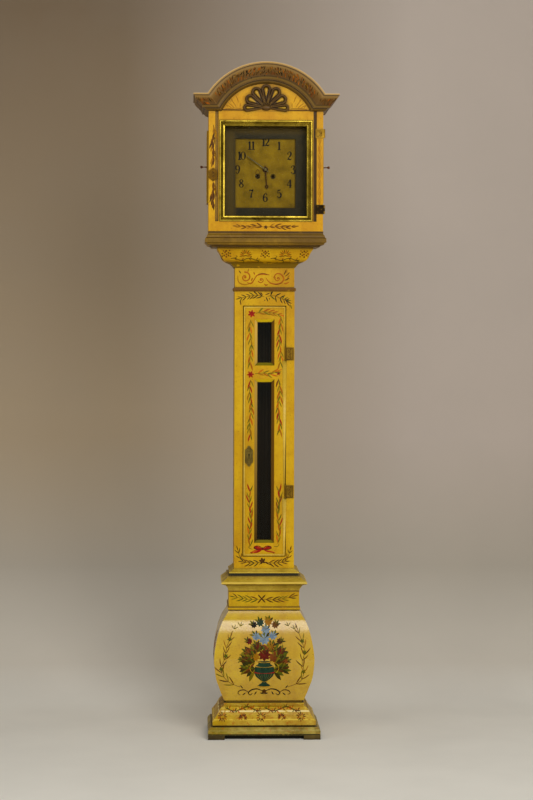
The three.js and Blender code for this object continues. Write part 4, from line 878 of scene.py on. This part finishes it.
def decorate_trunk_door():
    art = Relief("trunk_door_painting", "trunk_door_frame", body="trunk_door")
    left, right = -41, 45
    warm = ["orange", "orange", "rust", "tan", "olive", "red"]
    deep = ["red", "orange", "rust", "russet", "red", "olive"]
    garland(art, left, 326, 192, warm)
    garland(art, right, 336, 194, warm)
    garland(art, left, 150, -18, warm)
    garland(art, right - 2, 154, -4, deep)
    garland(art, left, -338, -168, deep)
    garland(art, right - 2, -330, -168, deep)
    for u, v, radius, petals, turn in ((-38, 344, 12, 6, 20), (-41, 166, 11, 6, 5), (41, 169, 6.5, 5, 10)):
        art.flower(u, v, radius, petals, "red", "maroon", turn, 0.48)
        art.flower(u, v, radius * 0.55, 5, "maroon", "umber", turn + 20, 0.5)
    for points in ([(-26, 345), (-4, 350), (20, 347), (44, 341)],
                   [(-28, 168), (-4, 170), (16, 167), (34, 174)]):
        art.spray(points, 24, 5, ["orange", "rust", "olive", "tan", "olive"], "green", 1.2, 30, slim=0.17)
    art.stroke([(30, -338), (40, -338), (44, -332)], 1.4, "green")
    art.stroke([(-34, -346), (-44, -342), (-42, -334)], 1.4, "green")
    bow(art, -4, -345)
    art.finish()
    engrave("trunk_hinge_upper", "case")
    engrave("trunk_hinge_lower", "case")
    plate = Relief("trunk_escutcheon_engraving", "trunk_door_escutcheon", 0.12, "trunk_door")
    plate.dot(0, 4, 2.6, "black")
    plate.stroke([(0, 4), (0, -1), (0, -7)], [2.2, 2.0, 2.8], "black")
    for side in (-1, 1):
        for v in (-20, -13, 13, 20):
            plate.stroke(placed(side, [(1.5, 0), (4, 3), (7, 0), (5, -2.5)], z=v), 1.0, "umber", steps=3)
        plate.stroke(placed(side, [(5, 8), (8, 4), (8, -4), (5, -8)]), 1.0, "umber")
    plate.finish()


def engrave(node, body, inset=2.6):
    """A line cut round a plate inside its edge, and two curls in the middle."""
    plate = Relief(f"{node}_engraving", node, 0.06, body)
    low, high = box_mm(node)
    u, v = (high.x - low.x) / 2 - inset, (high.z - low.z) / 2 - inset
    plate.stroke([(-u, -v), (u, -v), (u, v), (-u, v), (-u, -v)], 1.4, "umber", steps=1)
    for side in (-1, 1):
        plate.spiral(side * u * 0.05, side * v * 0.42, min(u, v) * 0.5, 1.2, 90, "umber", 1.4, side)
    plate.finish()


def sweep(build, path, half, rise, front, rounds=6):
    """A half-round bead along a path of (x, z) points on a flat front, mitred at its corners."""
    rows = []
    for i, (x, z) in enumerate(path):
        into = Vector(path[i]) - Vector(path[max(i - 1, 0)])
        out = Vector(path[min(i + 1, len(path) - 1)]) - Vector(path[i])
        into, out = (into or out).normalized(), (out or into).normalized()
        across = Vector((-(into + out).y, (into + out).x)).normalized()
        stretch = half / max(0.3, across.dot(Vector((-out.y, out.x))))
        rows.append([])
        for k in range(rounds + 1):
            angle = math.pi * k / rounds
            offset = across * math.cos(angle) * stretch
            rows[-1].append((x + offset.x, front - 0.02 - rise * math.sin(angle), z + offset.y))
    build.grid(rows, caps=2)


def make_door_bead():
    """The rounded bead along the trunk door's edge, left out where the hinges lie."""
    low, high = box_mm("trunk_door_frame")
    half, rise, inset, clear = 1.9, 1.5, 2.4, 1.0
    left, right = low.x + inset, high.x - inset
    foot, head = low.z + inset, high.z - inset
    lower, upper = box_mm("trunk_hinge_lower"), box_mm("trunk_hinge_upper")
    bead = Build()
    around = [(right, upper[1].z + clear), (right, head), (left, head), (left, foot), (right, foot),
              (right, lower[0].z - clear)]
    for path in (around, [(right, lower[1].z + clear), (right, upper[0].z - clear)]):
        sweep(bead, path, half, rise, low.y)
    bead.show("trunk_door_bead", [FINISHES["door_bead_lacquer"]], "trunk_door")


# Decoration of the base
def decorate_base_neck():
    art = Relief("base_neck_painting", "base_neck_frieze", 0.45, level=1)
    x, z = -7, -20
    art.leaves(((x, z, 132, 17), (x, z, 46, 17), (x, z, -46, 16), (x, z, -132, 18)), 4.0, "umber")
    art.dot(x, z, 3, "maroon")
    art.spray([(-10, -21), (-34, -22), (-58, -20), (-84, -15)], 25, 5, ["green", "olive", "brown"], "olive",
              1.1, 30, slim=0.14)
    art.spray([(-4, -21), (24, -23), (50, -21), (80, -14)], 27, 5, ["brown", "olive", "umber"], "brown", 1.1,
              26, slim=0.14)
    art.finish()


def decorate_plinth():
    art = Relief("plinth_painting", "plinth_ogee_moulding", 0.45, level=0)
    for start in (-112, 2):
        points = wave(start, 104, 48, 5.2, 0.75, 2.4)
        art.stroke(points, 2.4, "dark", steps=4)
        for k in range(1, 12):
            u, v = points[k]
            art.leaf(u, v, 50 if k % 2 else -45, 11, 3.0, ["orange", "rust", "russet", "brown"][k % 4], 16)
            art.leaf(u, v, 130 if k % 2 else -135, 9, 2.6, ["orange", "olive", "rust"][k % 3], -16)
    for i, x in enumerate((-121, -62, -8, 51, 108)):
        # Half flowers stand between whole ones.
        reach, base = (4, 25.5) if i % 2 else (5, 28)
        for k in range(11):
            angle = -20 + 220 * k / 10 if i % 2 else 360 * k / 11
            u = x + reach * math.cos(math.radians(angle))
            v = base + 0.8 * reach * math.sin(math.radians(angle))
            art.leaf(u, v, angle, random.uniform(8, 11), 3.2, ["russet", "brown", "rust", "umber"][k % 4])
        for k in range(5):
            art.dot(x + jitter(12), 26 + random.uniform(-6, 8), random.uniform(1.2, 2.2), "russet", 6)
    art.finish()


def decorate_bombe():
    """Leaf sprays at the sides of the front."""
    art = Relief("bombe_painting", "bombe_base_shell", 0.5, level=0)
    left = [(-70, 42), (-98, 54), (-118, 74), (-126, 98), (-114, 130), (-110, 156), (-100, 184)]
    right = [(70, 42), (104, 58), (116, 88), (110, 116), (117, 144), (110, 174), (98, 206)]
    for points in (left, right):
        art.spray(points, 30, 9, ["brown", "tan", "olive", "umber", "brown"], "brown", 1.3, 34, slim=0.11)
    for u, v in ((-125, 96), (-112, 134), (-101, 182), (114, 88), (110, 176), (117, 144)):
        art.flower(u, v, 7, 5, "green", "teal", 45, 0.6)
    for side in (-1, 1):
        art.leaves([(u, v, turn, 14) for u, v in ((88, 210), (70, 218)) for turn in (60, 110, 150)], 2.4,
                   "olive", 0, side)
    art.finish()


# Blossoms over the urn: place, size, colour and heart.
BLOSSOMS = (
    (0, 138, 19, "maroon", "gold"), (-27, 132, 15, "tan", "maroon"), (27, 130, 15, "russet", "gold"),
    (-48, 146, 13, "russet", "umber"), (47, 147, 14, "maroon", "gold"), (-20, 160, 14, "maroon", "tan"),
    (20, 161, 15, "tan", "maroon"), (-62, 122, 10, "umber", "gold"), (62, 120, 10, "russet", "gold"),
    (0, 182, 17, "pale", "teal"), (-24, 190, 13, "pale", "gold"), (25, 192, 13, "pale", "gold"),
    (4, 208, 14, "pale", "teal"), (-44, 176, 10, "maroon", "gold"), (45, 176, 10, "umber", "gold"),
    (-12, 228, 12, "teal", "olive"), (12, 231, 13, "tan", "umber"), (32, 222, 11, "brown", "gold"),
    (-30, 222, 10, "black", "teal"),
)
# Half widths and heights of the urn's outline.
URN = [(20, 44), (15, 49), (7, 55), (9, 61), (24, 74), (30, 90), (26, 104), (17, 112), (22, 119)]


def decorate_with_urn():
    """An urn of flowers over a scroll: dark foliage first, then the urn, the blossoms, and the scroll."""
    art = Relief("bombe_vase_painting", "bombe_base_shell", 0.9, level=0)

    def bunch(u, v, turn, count, size, colours, fan):
        for k in range(count):
            way = turn + fan * (k - (count - 1) / 2)
            art.leaf(u, v, way, size * random.uniform(0.85, 1.1), size * 0.3, colours[k % len(colours)], 14)

    for side in (-1, 1):
        for u, v, turn, count, size in ((30, 112, 20, 6, 40), (34, 132, 50, 6, 36), (28, 96, -15, 5, 38),
                                        (48, 120, 70, 5, 28), (50, 96, 10, 5, 28), (20, 146, 78, 6, 32)):
            bunch(side * u, v, mirrored(side, turn), count, size,
                  ["dark", "green", "umber", "dark", "olive", "russet"], 24)
    outline, across = curve_through(URN, 4), 12
    art.grid([[art.surface(u * (2 * k / across - 1), v, 0.3 + 0.9 * math.sin(math.pi * k / across))
               for k in range(across + 1)] for u, v in outline], art.slot_of("teal"))
    for share, colour, width in ((0.05, "gold", 3.0), (0.4, "gold", 2.2), (0.6, "red", 4.5),
                                 (0.78, "gold", 2.6), (0.97, "gold", 3.4)):
        u, v = outline[int(share * (len(outline) - 1))]
        art.stroke([(-u, v), (-u / 2, v - 2.2), (0, v - 3), (u / 2, v - 2.2), (u, v)], width, colour, 1.5)
    for k in range(-3, 4):
        art.stroke([(k * 2.2, 62), (k * 6.2, 76), (k * 7.2, 86)], [0.8, 2.2, 0.8], "olive", 1.6)
    for side in (-1, 1):
        art.stroke(placed(side, [(22, 116), (36, 112), (42, 98), (35, 86), (29, 92)]),
                   [1.6, 2.8, 3.2, 2.8, 1.2], "gold", 1.2)
    for u, v, size, _, _ in BLOSSOMS:
        bunch(u * 1.05, v, 90 - u * 1.2, 3, size * 1.45, ["dark", "green", "olive"], 42)
    for i, (u, v, size, colour, heart) in enumerate(BLOSSOMS):
        art.flower(u, v, size, 8, colour, heart, i * 23, 0.55)
        art.flower(u, v, size * 0.6, 6, colour, heart, i * 31, 0.6)
    for side in (-1, 1):
        art.stroke(placed(side, [(6, 30), (20, 36), (36, 33), (46, 24), (40, 17), (34, 23)]),
                   [1.2, 3.4, 3.8, 3.0, 2.2, 1.2], "black", 1.0)
        art.stroke(placed(side, [(46, 26), (58, 33), (72, 30), (76, 22), (69, 19)]),
                   [1.2, 3.0, 2.8, 2.0, 1.0], "umber", 1.0)
        art.leaves(((22, 28, -60, 12), (54, 24, -40, 12), (12, 24, 200, 12), (62, 38, 50, 12)), 3.2, "black",
                   0, side)
    art.flower(0, 28, 8, 6, "umber", "gold", 30)
    art.finish()


def decorate_sides():
    """Sprays on the sides, which follow those of the front."""
    for name in ("left", "right"):
        door = Relief(f"{name}_side_door_painting", f"{name}_side_door", body=f"{name}_door", side=name)
        for start, end in ((14, 84), (-14, -84)):
            garland(door, 0, start, end, ["umber", "brown", "green", "rust"], 6)
        door.flower(0, 0, 13, 6, "orange", "umber")
        door.finish()
        trunk = Relief(f"trunk_{name}_side_painting", f"trunk_{name}_side", side=name)
        for start in (-330, -90, 150):
            garland(trunk, 0, start, start + 200, ["orange", "rust", "red", "green"], 9)
            trunk.flower(0, start - 12, 11, 6, "red", "gold")
        trunk.finish()
        base = Relief(f"bombe_{name}_side_painting", "bombe_base_shell", 0.5, side=name, level=0)
        for lean in (-1, 1):
            base.spray(placed(lean, [(0, 44), (30, 70), (44, 112), (34, 154), (16, 180)]), 24, 10,
                       ["brown", "tan", "umber"], "brown", 1.3, 38, slim=0.15)
        for v, size, colour in ((84, 9, "red"), (116, 14, "teal"), (150, 9, "red")):
            base.flower(0, v, size, 7, colour, "gold")
        base.finish()
        for place, height in (("plinth_ogee", 48), ("throat", 28)):
            short = place.split("_")[0]
            art = Relief(f"{short}_{name}_side_painting", f"{place}_moulding", side=name, level=0)
            points = wave(-84, 150, height, 3, 1.5)
            art.stroke(points, 1.6, "dark", steps=4)
            for k in range(1, 12):
                u, v = points[k]
                art.leaf(u, v, 50 if k % 2 else -45, 9, 2.5, random.choice(["orange", "brown", "rust"]), 16)
                art.leaf(u, v, 130 if k % 2 else -135, 8, 2.3, "olive", -16)
            art.finish()


# Dial
# Strokes of each numeral in a box 100 high, as (across, up, width), and the round dots that end some.
DIGITS = {
    "0": [[(30, 100, 5), (10, 80, 12), (7, 50, 16), (10, 20, 12), (30, 0, 5), (50, 20, 12), (53, 50, 16),
           (50, 80, 12), (30, 100, 5)]],
    "1": [[(30, 0, 17), (30, 100, 17)], [(28, 98, 10), (12, 80, 5)], [(10, 2, 7), (50, 2, 7)]],
    "2": [[(10, 74, 6), (14, 90, 6), (30, 100, 8), (48, 88, 16), (46, 62, 16), (25, 30, 10), (7, 6, 5)],
          [(7, 7, 6), (25, 10, 14), (45, 5, 12), (55, 20, 4)]],
    "3": [[(10, 84, 5), (20, 98, 6), (40, 96, 14), (46, 76, 15), (24, 55, 5)],
          [(24, 55, 5), (50, 44, 14), (50, 14, 16), (28, 0, 8), (8, 14, 5)]],
    "4": [[(42, 100, 6), (2, 30, 6)], [(2, 30, 7), (60, 30, 7)], [(42, 0, 16), (42, 100, 16)],
          [(28, 2, 6), (56, 2, 6)]],
    "5": [[(15, 100, 6), (13, 55, 6)], [(15, 95, 10), (30, 92, 13), (50, 100, 4)],
          [(13, 55, 5), (35, 64, 8), (53, 42, 16), (46, 10, 15), (24, 0, 7), (8, 12, 5)]],
    "6": [[(50, 88, 5), (36, 100, 5), (18, 84, 12), (8, 45, 16), (14, 10, 12), (32, 0, 6), (50, 14, 14),
           (50, 42, 14), (30, 56, 6), (12, 42, 4)]],
    "7": [[(8, 93, 12), (30, 90, 14), (54, 97, 10)], [(54, 97, 5), (34, 55, 10), (26, 0, 18)],
          [(7, 100, 4), (7, 78, 6)]],
    "8": [[(30, 54, 10), (12, 76, 12), (30, 100, 5), (48, 78, 12), (30, 54, 10), (7, 26, 14), (30, 0, 5),
           (53, 26, 14), (30, 54, 10)]],
}
DOTS = {"2": [(13, 74, 8)], "3": [(13, 82, 8), (13, 16, 8)], "5": [(12, 15, 8)], "6": [(46, 86, 7)]}
DIGIT_WIDTH = 0.6
NUMERAL_RADIUS = 81
NUMERAL_HEIGHT = 24
NUMERAL_WEIGHT = 1.2
# Radius and width of the painted rings.
CENTRE_RING = (7.3, 2.0)
WINDING_RING = (5.8, 2.8)
WINDING_HOLE = (22.4, -19.6)


def numeral(art, text, left, foot):
    """The strokes of a number whose lower left corner is at (left, foot). A 9 is a 6 turned round."""
    for k, digit in enumerate(text):
        shift = left + k * NUMERAL_HEIGHT * 0.43
        shape = "6" if digit == "9" else digit

        def at(u, v):
            u, v = u / 100, v / 100
            if digit == "9":
                u, v = DIGIT_WIDTH - u, 1 - v
            return shift + u * NUMERAL_HEIGHT, foot + v * NUMERAL_HEIGHT

        for line in DIGITS[shape]:
            widths = [width / 100 * NUMERAL_HEIGHT * NUMERAL_WEIGHT for _, _, width in line]
            art.stroke([at(u, v) for u, v, _ in line], widths, "black", 0.1, 5)
        for u, v, radius in DOTS.get(shape, ()):
            art.dot(*at(u, v), radius / 100 * NUMERAL_HEIGHT, "black")


def make_dial():
    surface = Surface("dial_plate")
    surface.origin.z = DIAL_CENTRE_Z
    art = Relief("dial_numerals", surface, 0.35)
    for hour in range(1, 13):
        angle, text = math.radians(30 * hour), str(hour)
        left = NUMERAL_RADIUS * math.sin(angle) - NUMERAL_HEIGHT * 0.3 * (1 + 0.72 * (len(text) - 1))
        numeral(art, text, left, NUMERAL_RADIUS * math.cos(angle) - NUMERAL_HEIGHT / 2)
    half = box_mm("dial_plate")[1].x - 4
    for radius, width in ((NUMERAL_RADIUS + 14, 0.5), (NUMERAL_RADIUS - 15, 0.4)):
        reach = math.asin(half / radius) - 0.02 if half < radius else math.pi / 4
        for k in range(4):
            turns = [math.pi / 2 * k - reach + 2 * reach * i / 16 for i in range(17)]
            art.stroke([(radius * math.sin(turn), radius * math.cos(turn)) for turn in turns], width, "olive",
                       0.05, 2)
    radius, width = CENTRE_RING
    art.stroke(ring(0, 0, radius), width, "umber", 0.1, 2)
    radius, width = WINDING_RING
    for side in (-1, 1):
        art.stroke(ring(side * WINDING_HOLE[0], WINDING_HOLE[1], radius), width, "black", 0.3, 2)
    art.stroke([(-30, -16), (-27, -5), (-22, 0), (-18, -6), (-16, -15)], [0.6, 1.3, 1.6, 1.3, 0.6], "umber",
               0.1)
    art.finish()


# Carved shell
SHELL_LOBES = ((0, 1.0), (32, 1.0), (-32, 1.0), (62, 0.98), (-62, 0.98), (90, 0.98), (-90, 0.98))
SHELL_DARTS = (-76, -47, -16, 16, 47, 76)
RIM_RADIUS = 3.6
LOBE_RADIUS = 11.2
DART_START, DART_LENGTH, DART_HALF = 14, 26, 1.5
# The boss: half width, half height, and its rings as (size, height).
BOSS_HALF = (15, 8.4)
BOSS_RINGS = ((1, 0.3), (0.95, 4.0), (0.6, 6.2), (0.15, 7.0))


def fan(turn):
    """The ways along and across a form that leans from upright by turn degrees."""
    angle = math.radians(turn)
    return Vector((math.sin(angle), 0, math.cos(angle))), Vector((math.cos(angle), 0, -math.sin(angle)))


def drop(far, wide, scale, count=32):
    """Points (along, across) round a drop with a round far end, drawn in towards that end by scale."""
    # The round end holds this share of the points, and covers this share of a full turn.
    share, cover = 0.62, 0.6
    tip = 10 + (1 - scale) * 40
    neck = far + wide * scale * math.cos(math.pi * cover)
    points = []
    for i in range(count):
        turn = 2 * math.pi * i / count
        if abs(turn - math.pi) < math.pi * share:
            angle = (turn - math.pi) / (math.pi * share) * math.pi * cover
            points.append((far + wide * scale * math.cos(angle), -wide * scale * math.sin(angle)))
        else:
            along = min(turn, 2 * math.pi - turn) / (math.pi * (1 - share))
            across = wide * scale * math.sin(math.pi * cover) * along**0.8
            points.append((tip + (neck - tip) * along, across if turn < math.pi else -across))
    return points


def add_lobe(build, centre, reach, turn, size):
    """A heavy brown rim, the floor inside it, and a golden hollow on the floor."""
    along, across = fan(turn)
    wide = LOBE_RADIUS * (0.72 if abs(turn) > 80 else 1)
    far = reach * size - RIM_RADIUS - wide

    def outline(scale):
        return [centre + along * v + across * u for v, u in drop(far, wide, scale)]

    rim, rows = outline(1.0), []
    out = Vector((0, -1, 0))
    for i, point in enumerate(rim):
        ahead = (rim[(i + 1) % len(rim)] - rim[i - 1]).normalized()
        side = ahead.cross(out).normalized()
        thick = RIM_RADIUS * (0.55 + 0.5 * min(1, (point - centre).length / reach))
        rows.append([])
        for k in range(8):
            a = 2 * math.pi * k / 8
            rise = math.sin(a) * thick * 1.2 + thick + 0.4
            rows[-1].append(point + side * math.cos(a) * thick + out * rise)
    build.grid(rows, around=True, joined=True)
    for scale, lift, slot, heart, base in ((0.98, 1.2, 0, 0.7, 0), (0.6, 1.6, 1, 1, 0.8)):
        anchor = centre + along * far * heart
        edge = outline(scale)
        rings = ((1, 0.2), (0.75, lift), (0.4, lift * 1.8), (0.12, lift * 2.1))
        build.grid([[anchor + (p - anchor) * share + Vector((0, -rise - base, 0)) for p in edge]
                    for share, rise in rings], slot, around=True, caps=1)


def make_shell():
    """Seven lobes with brown rims and golden hollows, slim golden darts between them, and a low boss."""
    low, high = box_mm("shell_carving")
    centre = Vector((0, box_mm("tympanum_board")[0].y - 0.3, low.z + 9))
    reach = high.z + 3.5 - centre.z
    build = Build()
    for turn, size in SHELL_LOBES:
        add_lobe(build, centre, reach, turn, size)
    for turn in SHELL_DARTS:
        along, across = fan(turn)
        rows = []
        for k in range(9):
            share = k / 8
            wide = DART_HALF * math.sin(math.pi * (0.1 + 0.85 * share))
            middle = centre + along * (DART_START + DART_LENGTH * share)
            rows.append([middle + across * wide * side + Vector((0, -lift - 2.0, 0))
                         for side, lift in ((-1, 1.0), (0, 3.4), (1, 1.0))])
        build.grid(rows, 1)
    rows = []
    for size, lift in BOSS_RINGS:
        rows.append([])
        for k in range(20):
            a = 2 * math.pi * k / 20
            x, z = BOSS_HALF[0] * size * math.cos(a), BOSS_HALF[1] * size * math.sin(a) + 0.4
            rows[-1].append(centre + Vector((x, -lift, z)))
    build.grid(rows, around=True, caps=1)
    shell = build.show("carved_shell", [FINISHES["shell_lacquer"], FINISHES["shell_gilding"]], "case",
                       slot="brown_paint")
    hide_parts("shell_carving")


# Small metalwork
# Screws of a node on a body, at shares of the node's width and height.
LEAF_SCREWS = ((0.25, 0.2), (0.25, 0.8), (0.6, 0.5))
HINGE_SCREWS = ((0.66, 0.17), (0.66, 0.5), (0.66, 0.83))
SCREWS = (
    ("hood_hinge_upper_door_leaf", "hood_door", LEAF_SCREWS),
    ("hood_hinge_lower_door_leaf", "hood_door", LEAF_SCREWS),
    ("hood_door_escutcheon", "hood_door", ((0.5, 0.12), (0.5, 0.88))),
    ("trunk_hinge_upper", "case", HINGE_SCREWS),
    ("trunk_hinge_lower", "case", HINGE_SCREWS),
    ("trunk_door_escutcheon", "trunk_door", ((0.5, 0.1), (0.5, 0.9))),
)
SCREW_RADIUS = 1.7
# The rings of a head as (height, size).
SCREW_RINGS = ((0, 1.0), (0.45, 0.96), (0.6, 0.7))
SLOT_HALF = 0.25


def add_screws():
    """Screw heads, each in two halves with a slot between them."""
    heads = {body: Build() for body in ("hood_door", "case", "trunk_door")}
    for node, body, spots in SCREWS:
        low, high = box_mm(node)
        surface = Surface(node)
        for across, up in spots:
            x, y, z = surface(low.x + across * (high.x - low.x) - middle_of(node).x,
                              (up - 0.5) * (high.z - low.z), 0.03)
            turn = math.radians((x * 13 + z * 7) % 180)
            for side in (-1, 1):
                rows = []
                for lift, size in SCREW_RINGS:
                    rows.append([])
                    for k in range(9):
                        a = math.pi * k / 8
                        u = SCREW_RADIUS * size * math.cos(a)
                        v = side * (SLOT_HALF + 1.4 * size * math.sin(a))
                        rows[-1].append((x + u * math.cos(turn) - v * math.sin(turn), y - lift,
                                         z + u * math.sin(turn) + v * math.cos(turn)))
                heads[body].grid(rows, caps=1)
    for body, build in heads.items():
        build.show(f"{body}_screws", [FINISHES["aged_brass"]], body, slot="old_brass")


TOE_CLEARANCE, TOE_SETBACK, TOE_THICKNESS = 0.3, 16, 6
TOE_CHAMFER, TOE_FOOT = 1.5, 0.6


def add_toe_board():
    """A dark board set back between the front feet, with a small chamfer along its foot. It stands for the
    shadow under the plinth, and its dark colour is painted shade.
    """
    feet = sorted((box_mm(f"foot_front_{side}") for side in ("left", "right")), key=lambda box: box[0].x)
    front, top = feet[0][0].y + TOE_SETBACK, box_mm("plinth_base_moulding")[0].z - TOE_CLEARANCE
    back = front + TOE_THICKNESS
    section = [(front, top), (front, TOE_FOOT + TOE_CHAMFER), (front + TOE_CHAMFER, TOE_FOOT),
               (back, TOE_FOOT), (back, top)]
    ends = feet[0][1].x + TOE_CLEARANCE, feet[1][0].x - TOE_CLEARANCE
    build = Build()
    build.grid([[(x, y, z) for y, z in section] for x in ends], around=True, caps=2)
    build.show("toe_board", [FINISHES["toe_board_lacquer"]], "case", smooth=False)


# Floor, light and camera, in metres
WALL_START = 0.35
WALL_BEND = 0.9
WALL_TOP = 14
STAGE_HALF = 30
STAGE_FRONT = -12
# The wall's colours low and high on the left, and on the right, and the floor's from the front backwards.
# They are painted light and shade: the wall darker high up and to the left, the floor darker as it bends up.
WALL_LOW, WALL_HIGH, WALL_RIGHT = (177, 158, 131), (126, 108, 86), (193, 180, 168)
FLOOR_STOPS = [(0.0, (240, 237, 226)), (0.11, (217, 210, 196)), (0.46, (181, 172, 157)),
               (1.0, (179, 167, 149))]
# Heights over which the wall darkens as painted shade, the floor's stops run, and the floor turns into the
# wall.
WALL_FADE, FLOOR_FADE, WALL_BLEND = (0.9, 2.3), (0.0, 0.8), (0.35, 0.8)
GRAIN_COLOUR = (150, 146, 138)
SKY_COLOUR = (1, 0.97, 0.92, 1)
SKY_STRENGTH = 0.25


def add_stage():
    """A floor on all sides, and a wall that bends up behind the part and shows only from the front."""
    profile = [(STAGE_FRONT, 0), (WALL_START, 0)]
    for k in range(1, 25):
        angle = math.pi / 2 * k / 24
        profile.append((WALL_START + WALL_BEND * math.sin(angle), WALL_BEND * (1 - math.cos(angle))))
    profile.append((WALL_START + WALL_BEND, WALL_TOP))
    build = Build()
    for line in (profile, [(WALL_START, 0), (-STAGE_FRONT, 0)]):
        build.grid([[(x, y, z) for x in (-STAGE_HALF, STAGE_HALF)] for y, z in line])
    mesh = bpy.data.meshes.new("backdrop")
    mesh.from_pydata(build.verts, [], build.faces)
    mesh.polygons.foreach_set("use_smooth", [True] * len(mesh.polygons))
    backdrop = bpy.data.objects.new("backdrop", mesh)
    bpy.context.collection.objects.link(backdrop)
    shade = Shade("backdrop_paper", Roughness=0.9, Specular_IOR_Level=0.1)
    # The paper carries painted light and shade: the wall darker high up and to the left and lighter to the
    # right, and the floor darker as it bends up.
    z = shade.axis("Z")
    left = shade.mix(shade.spread(z, *WALL_FADE), linear(*WALL_LOW), linear(*WALL_HIGH))
    wall = shade.mix(shade.spread(shade.axis("X"), -0.45, 0.55), left, linear(*WALL_RIGHT))
    floor = shade.ramp(shade.spread(z, *FLOOR_FADE), FLOOR_STOPS)
    paper = shade.mix(shade.spread(z, *WALL_BLEND), floor, wall)
    shade.colour(shade.over(paper, linear(*GRAIN_COLOUR), shade.noise(3, 4, 0.5), 0.4, 0.7, 0.08))
    behind = shade.node("ShaderNodeNewGeometry").outputs["Backfacing"]
    clear = shade.node("ShaderNodeBsdfTransparent").outputs[0]
    seen = shade.node("ShaderNodeMixShader", {0: behind, 1: shade.shader.outputs[0], 2: clear}).outputs[0]
    shade.put(shade.tree.nodes["Material Output"].inputs["Surface"], seen)
    mesh.materials.append(shade.material)


def add_light(name, place, aim, size, energy):
    data = bpy.data.lights.new(name, "AREA")
    data.shape = "RECTANGLE"
    data.size, data.size_y = size
    data.energy = energy
    lamp = bpy.data.objects.new(name, data)
    lamp.location = place
    lamp.rotation_euler = (Vector(aim) - Vector(place)).to_track_quat("-Z", "Y").to_euler()
    bpy.context.collection.objects.link(lamp)


def add_lights():
    world = bpy.data.worlds.new("world")
    bpy.context.scene.world = world
    world.use_nodes = True
    sky = world.node_tree.nodes["Background"].inputs
    sky[0].default_value = SKY_COLOUR
    sky[1].default_value = SKY_STRENGTH
    add_light("high_front", (0.3, -3.0, 2.9), (0, 0, 0.9), (3.2, 0.9), 42)
    add_light("front_strip", (0.2, -3.3, 2.25), (0, 0, 0.5), (2.6, 0.36), 14)
    add_light("right_key", (1.9, -4.2, 2.3), (0, 0, 1.1), (2.0, 2.0), 56)
    add_light("left_fill", (-2.8, -2.4, 1.6), (0, 0, 1.0), (1.5, 2.0), 16)


# The camera as worked out from the photo. The first five are in the photo's pixels: its height, its middle
# column, the focal length, the column where lines of depth meet, and how far the picture is shifted down.
PICTURE_HEIGHT = 800
PICTURE_MIDDLE = 266.5
FOCAL_LENGTH = 2176
DEPTH_COLUMN = 190.8
PICTURE_SHIFT = 93
SENSOR_HEIGHT = 24
CAMERA_ROLL = 0.16
CAMERA_PLACE = (-0.2164, -6.386, 1.254)


def add_camera():
    data = bpy.data.cameras.new("camera")
    camera = bpy.data.objects.new("camera", data)
    bpy.context.collection.objects.link(camera)
    bpy.context.scene.camera = camera
    data.sensor_fit = "VERTICAL"
    data.sensor_height = SENSOR_HEIGHT
    data.lens = FOCAL_LENGTH * SENSOR_HEIGHT / PICTURE_HEIGHT
    data.shift_y = -PICTURE_SHIFT / PICTURE_HEIGHT
    data.clip_end = 100
    camera.location = CAMERA_PLACE
    yaw = Matrix.Rotation(-math.atan((PICTURE_MIDDLE - DEPTH_COLUMN) / FOCAL_LENGTH), 4, "Z")
    level = Matrix.Rotation(math.radians(90), 4, "X")
    camera.rotation_euler = (yaw @ level @ Matrix.Rotation(math.radians(CAMERA_ROLL), 4, "Z")).to_euler()


bpy.context.scene.view_settings.view_transform = "Standard"
make_finishes()
add_stage()
add_lights()
add_camera()
rounded_moulding("bombe_base_shell", "bombe_body", FINISHES["bombe_lacquer"])
decorate_cornice()
decorate_tympanum()
make_shell()
decorate_hood_door()
make_dial()
decorate_throat()
decorate_neck()
decorate_trunk_frame()
make_door_bead()
decorate_trunk_door()
decorate_base_neck()
decorate_bombe()
decorate_with_urn()
decorate_plinth()
decorate_sides()
add_screws()
add_toe_board()
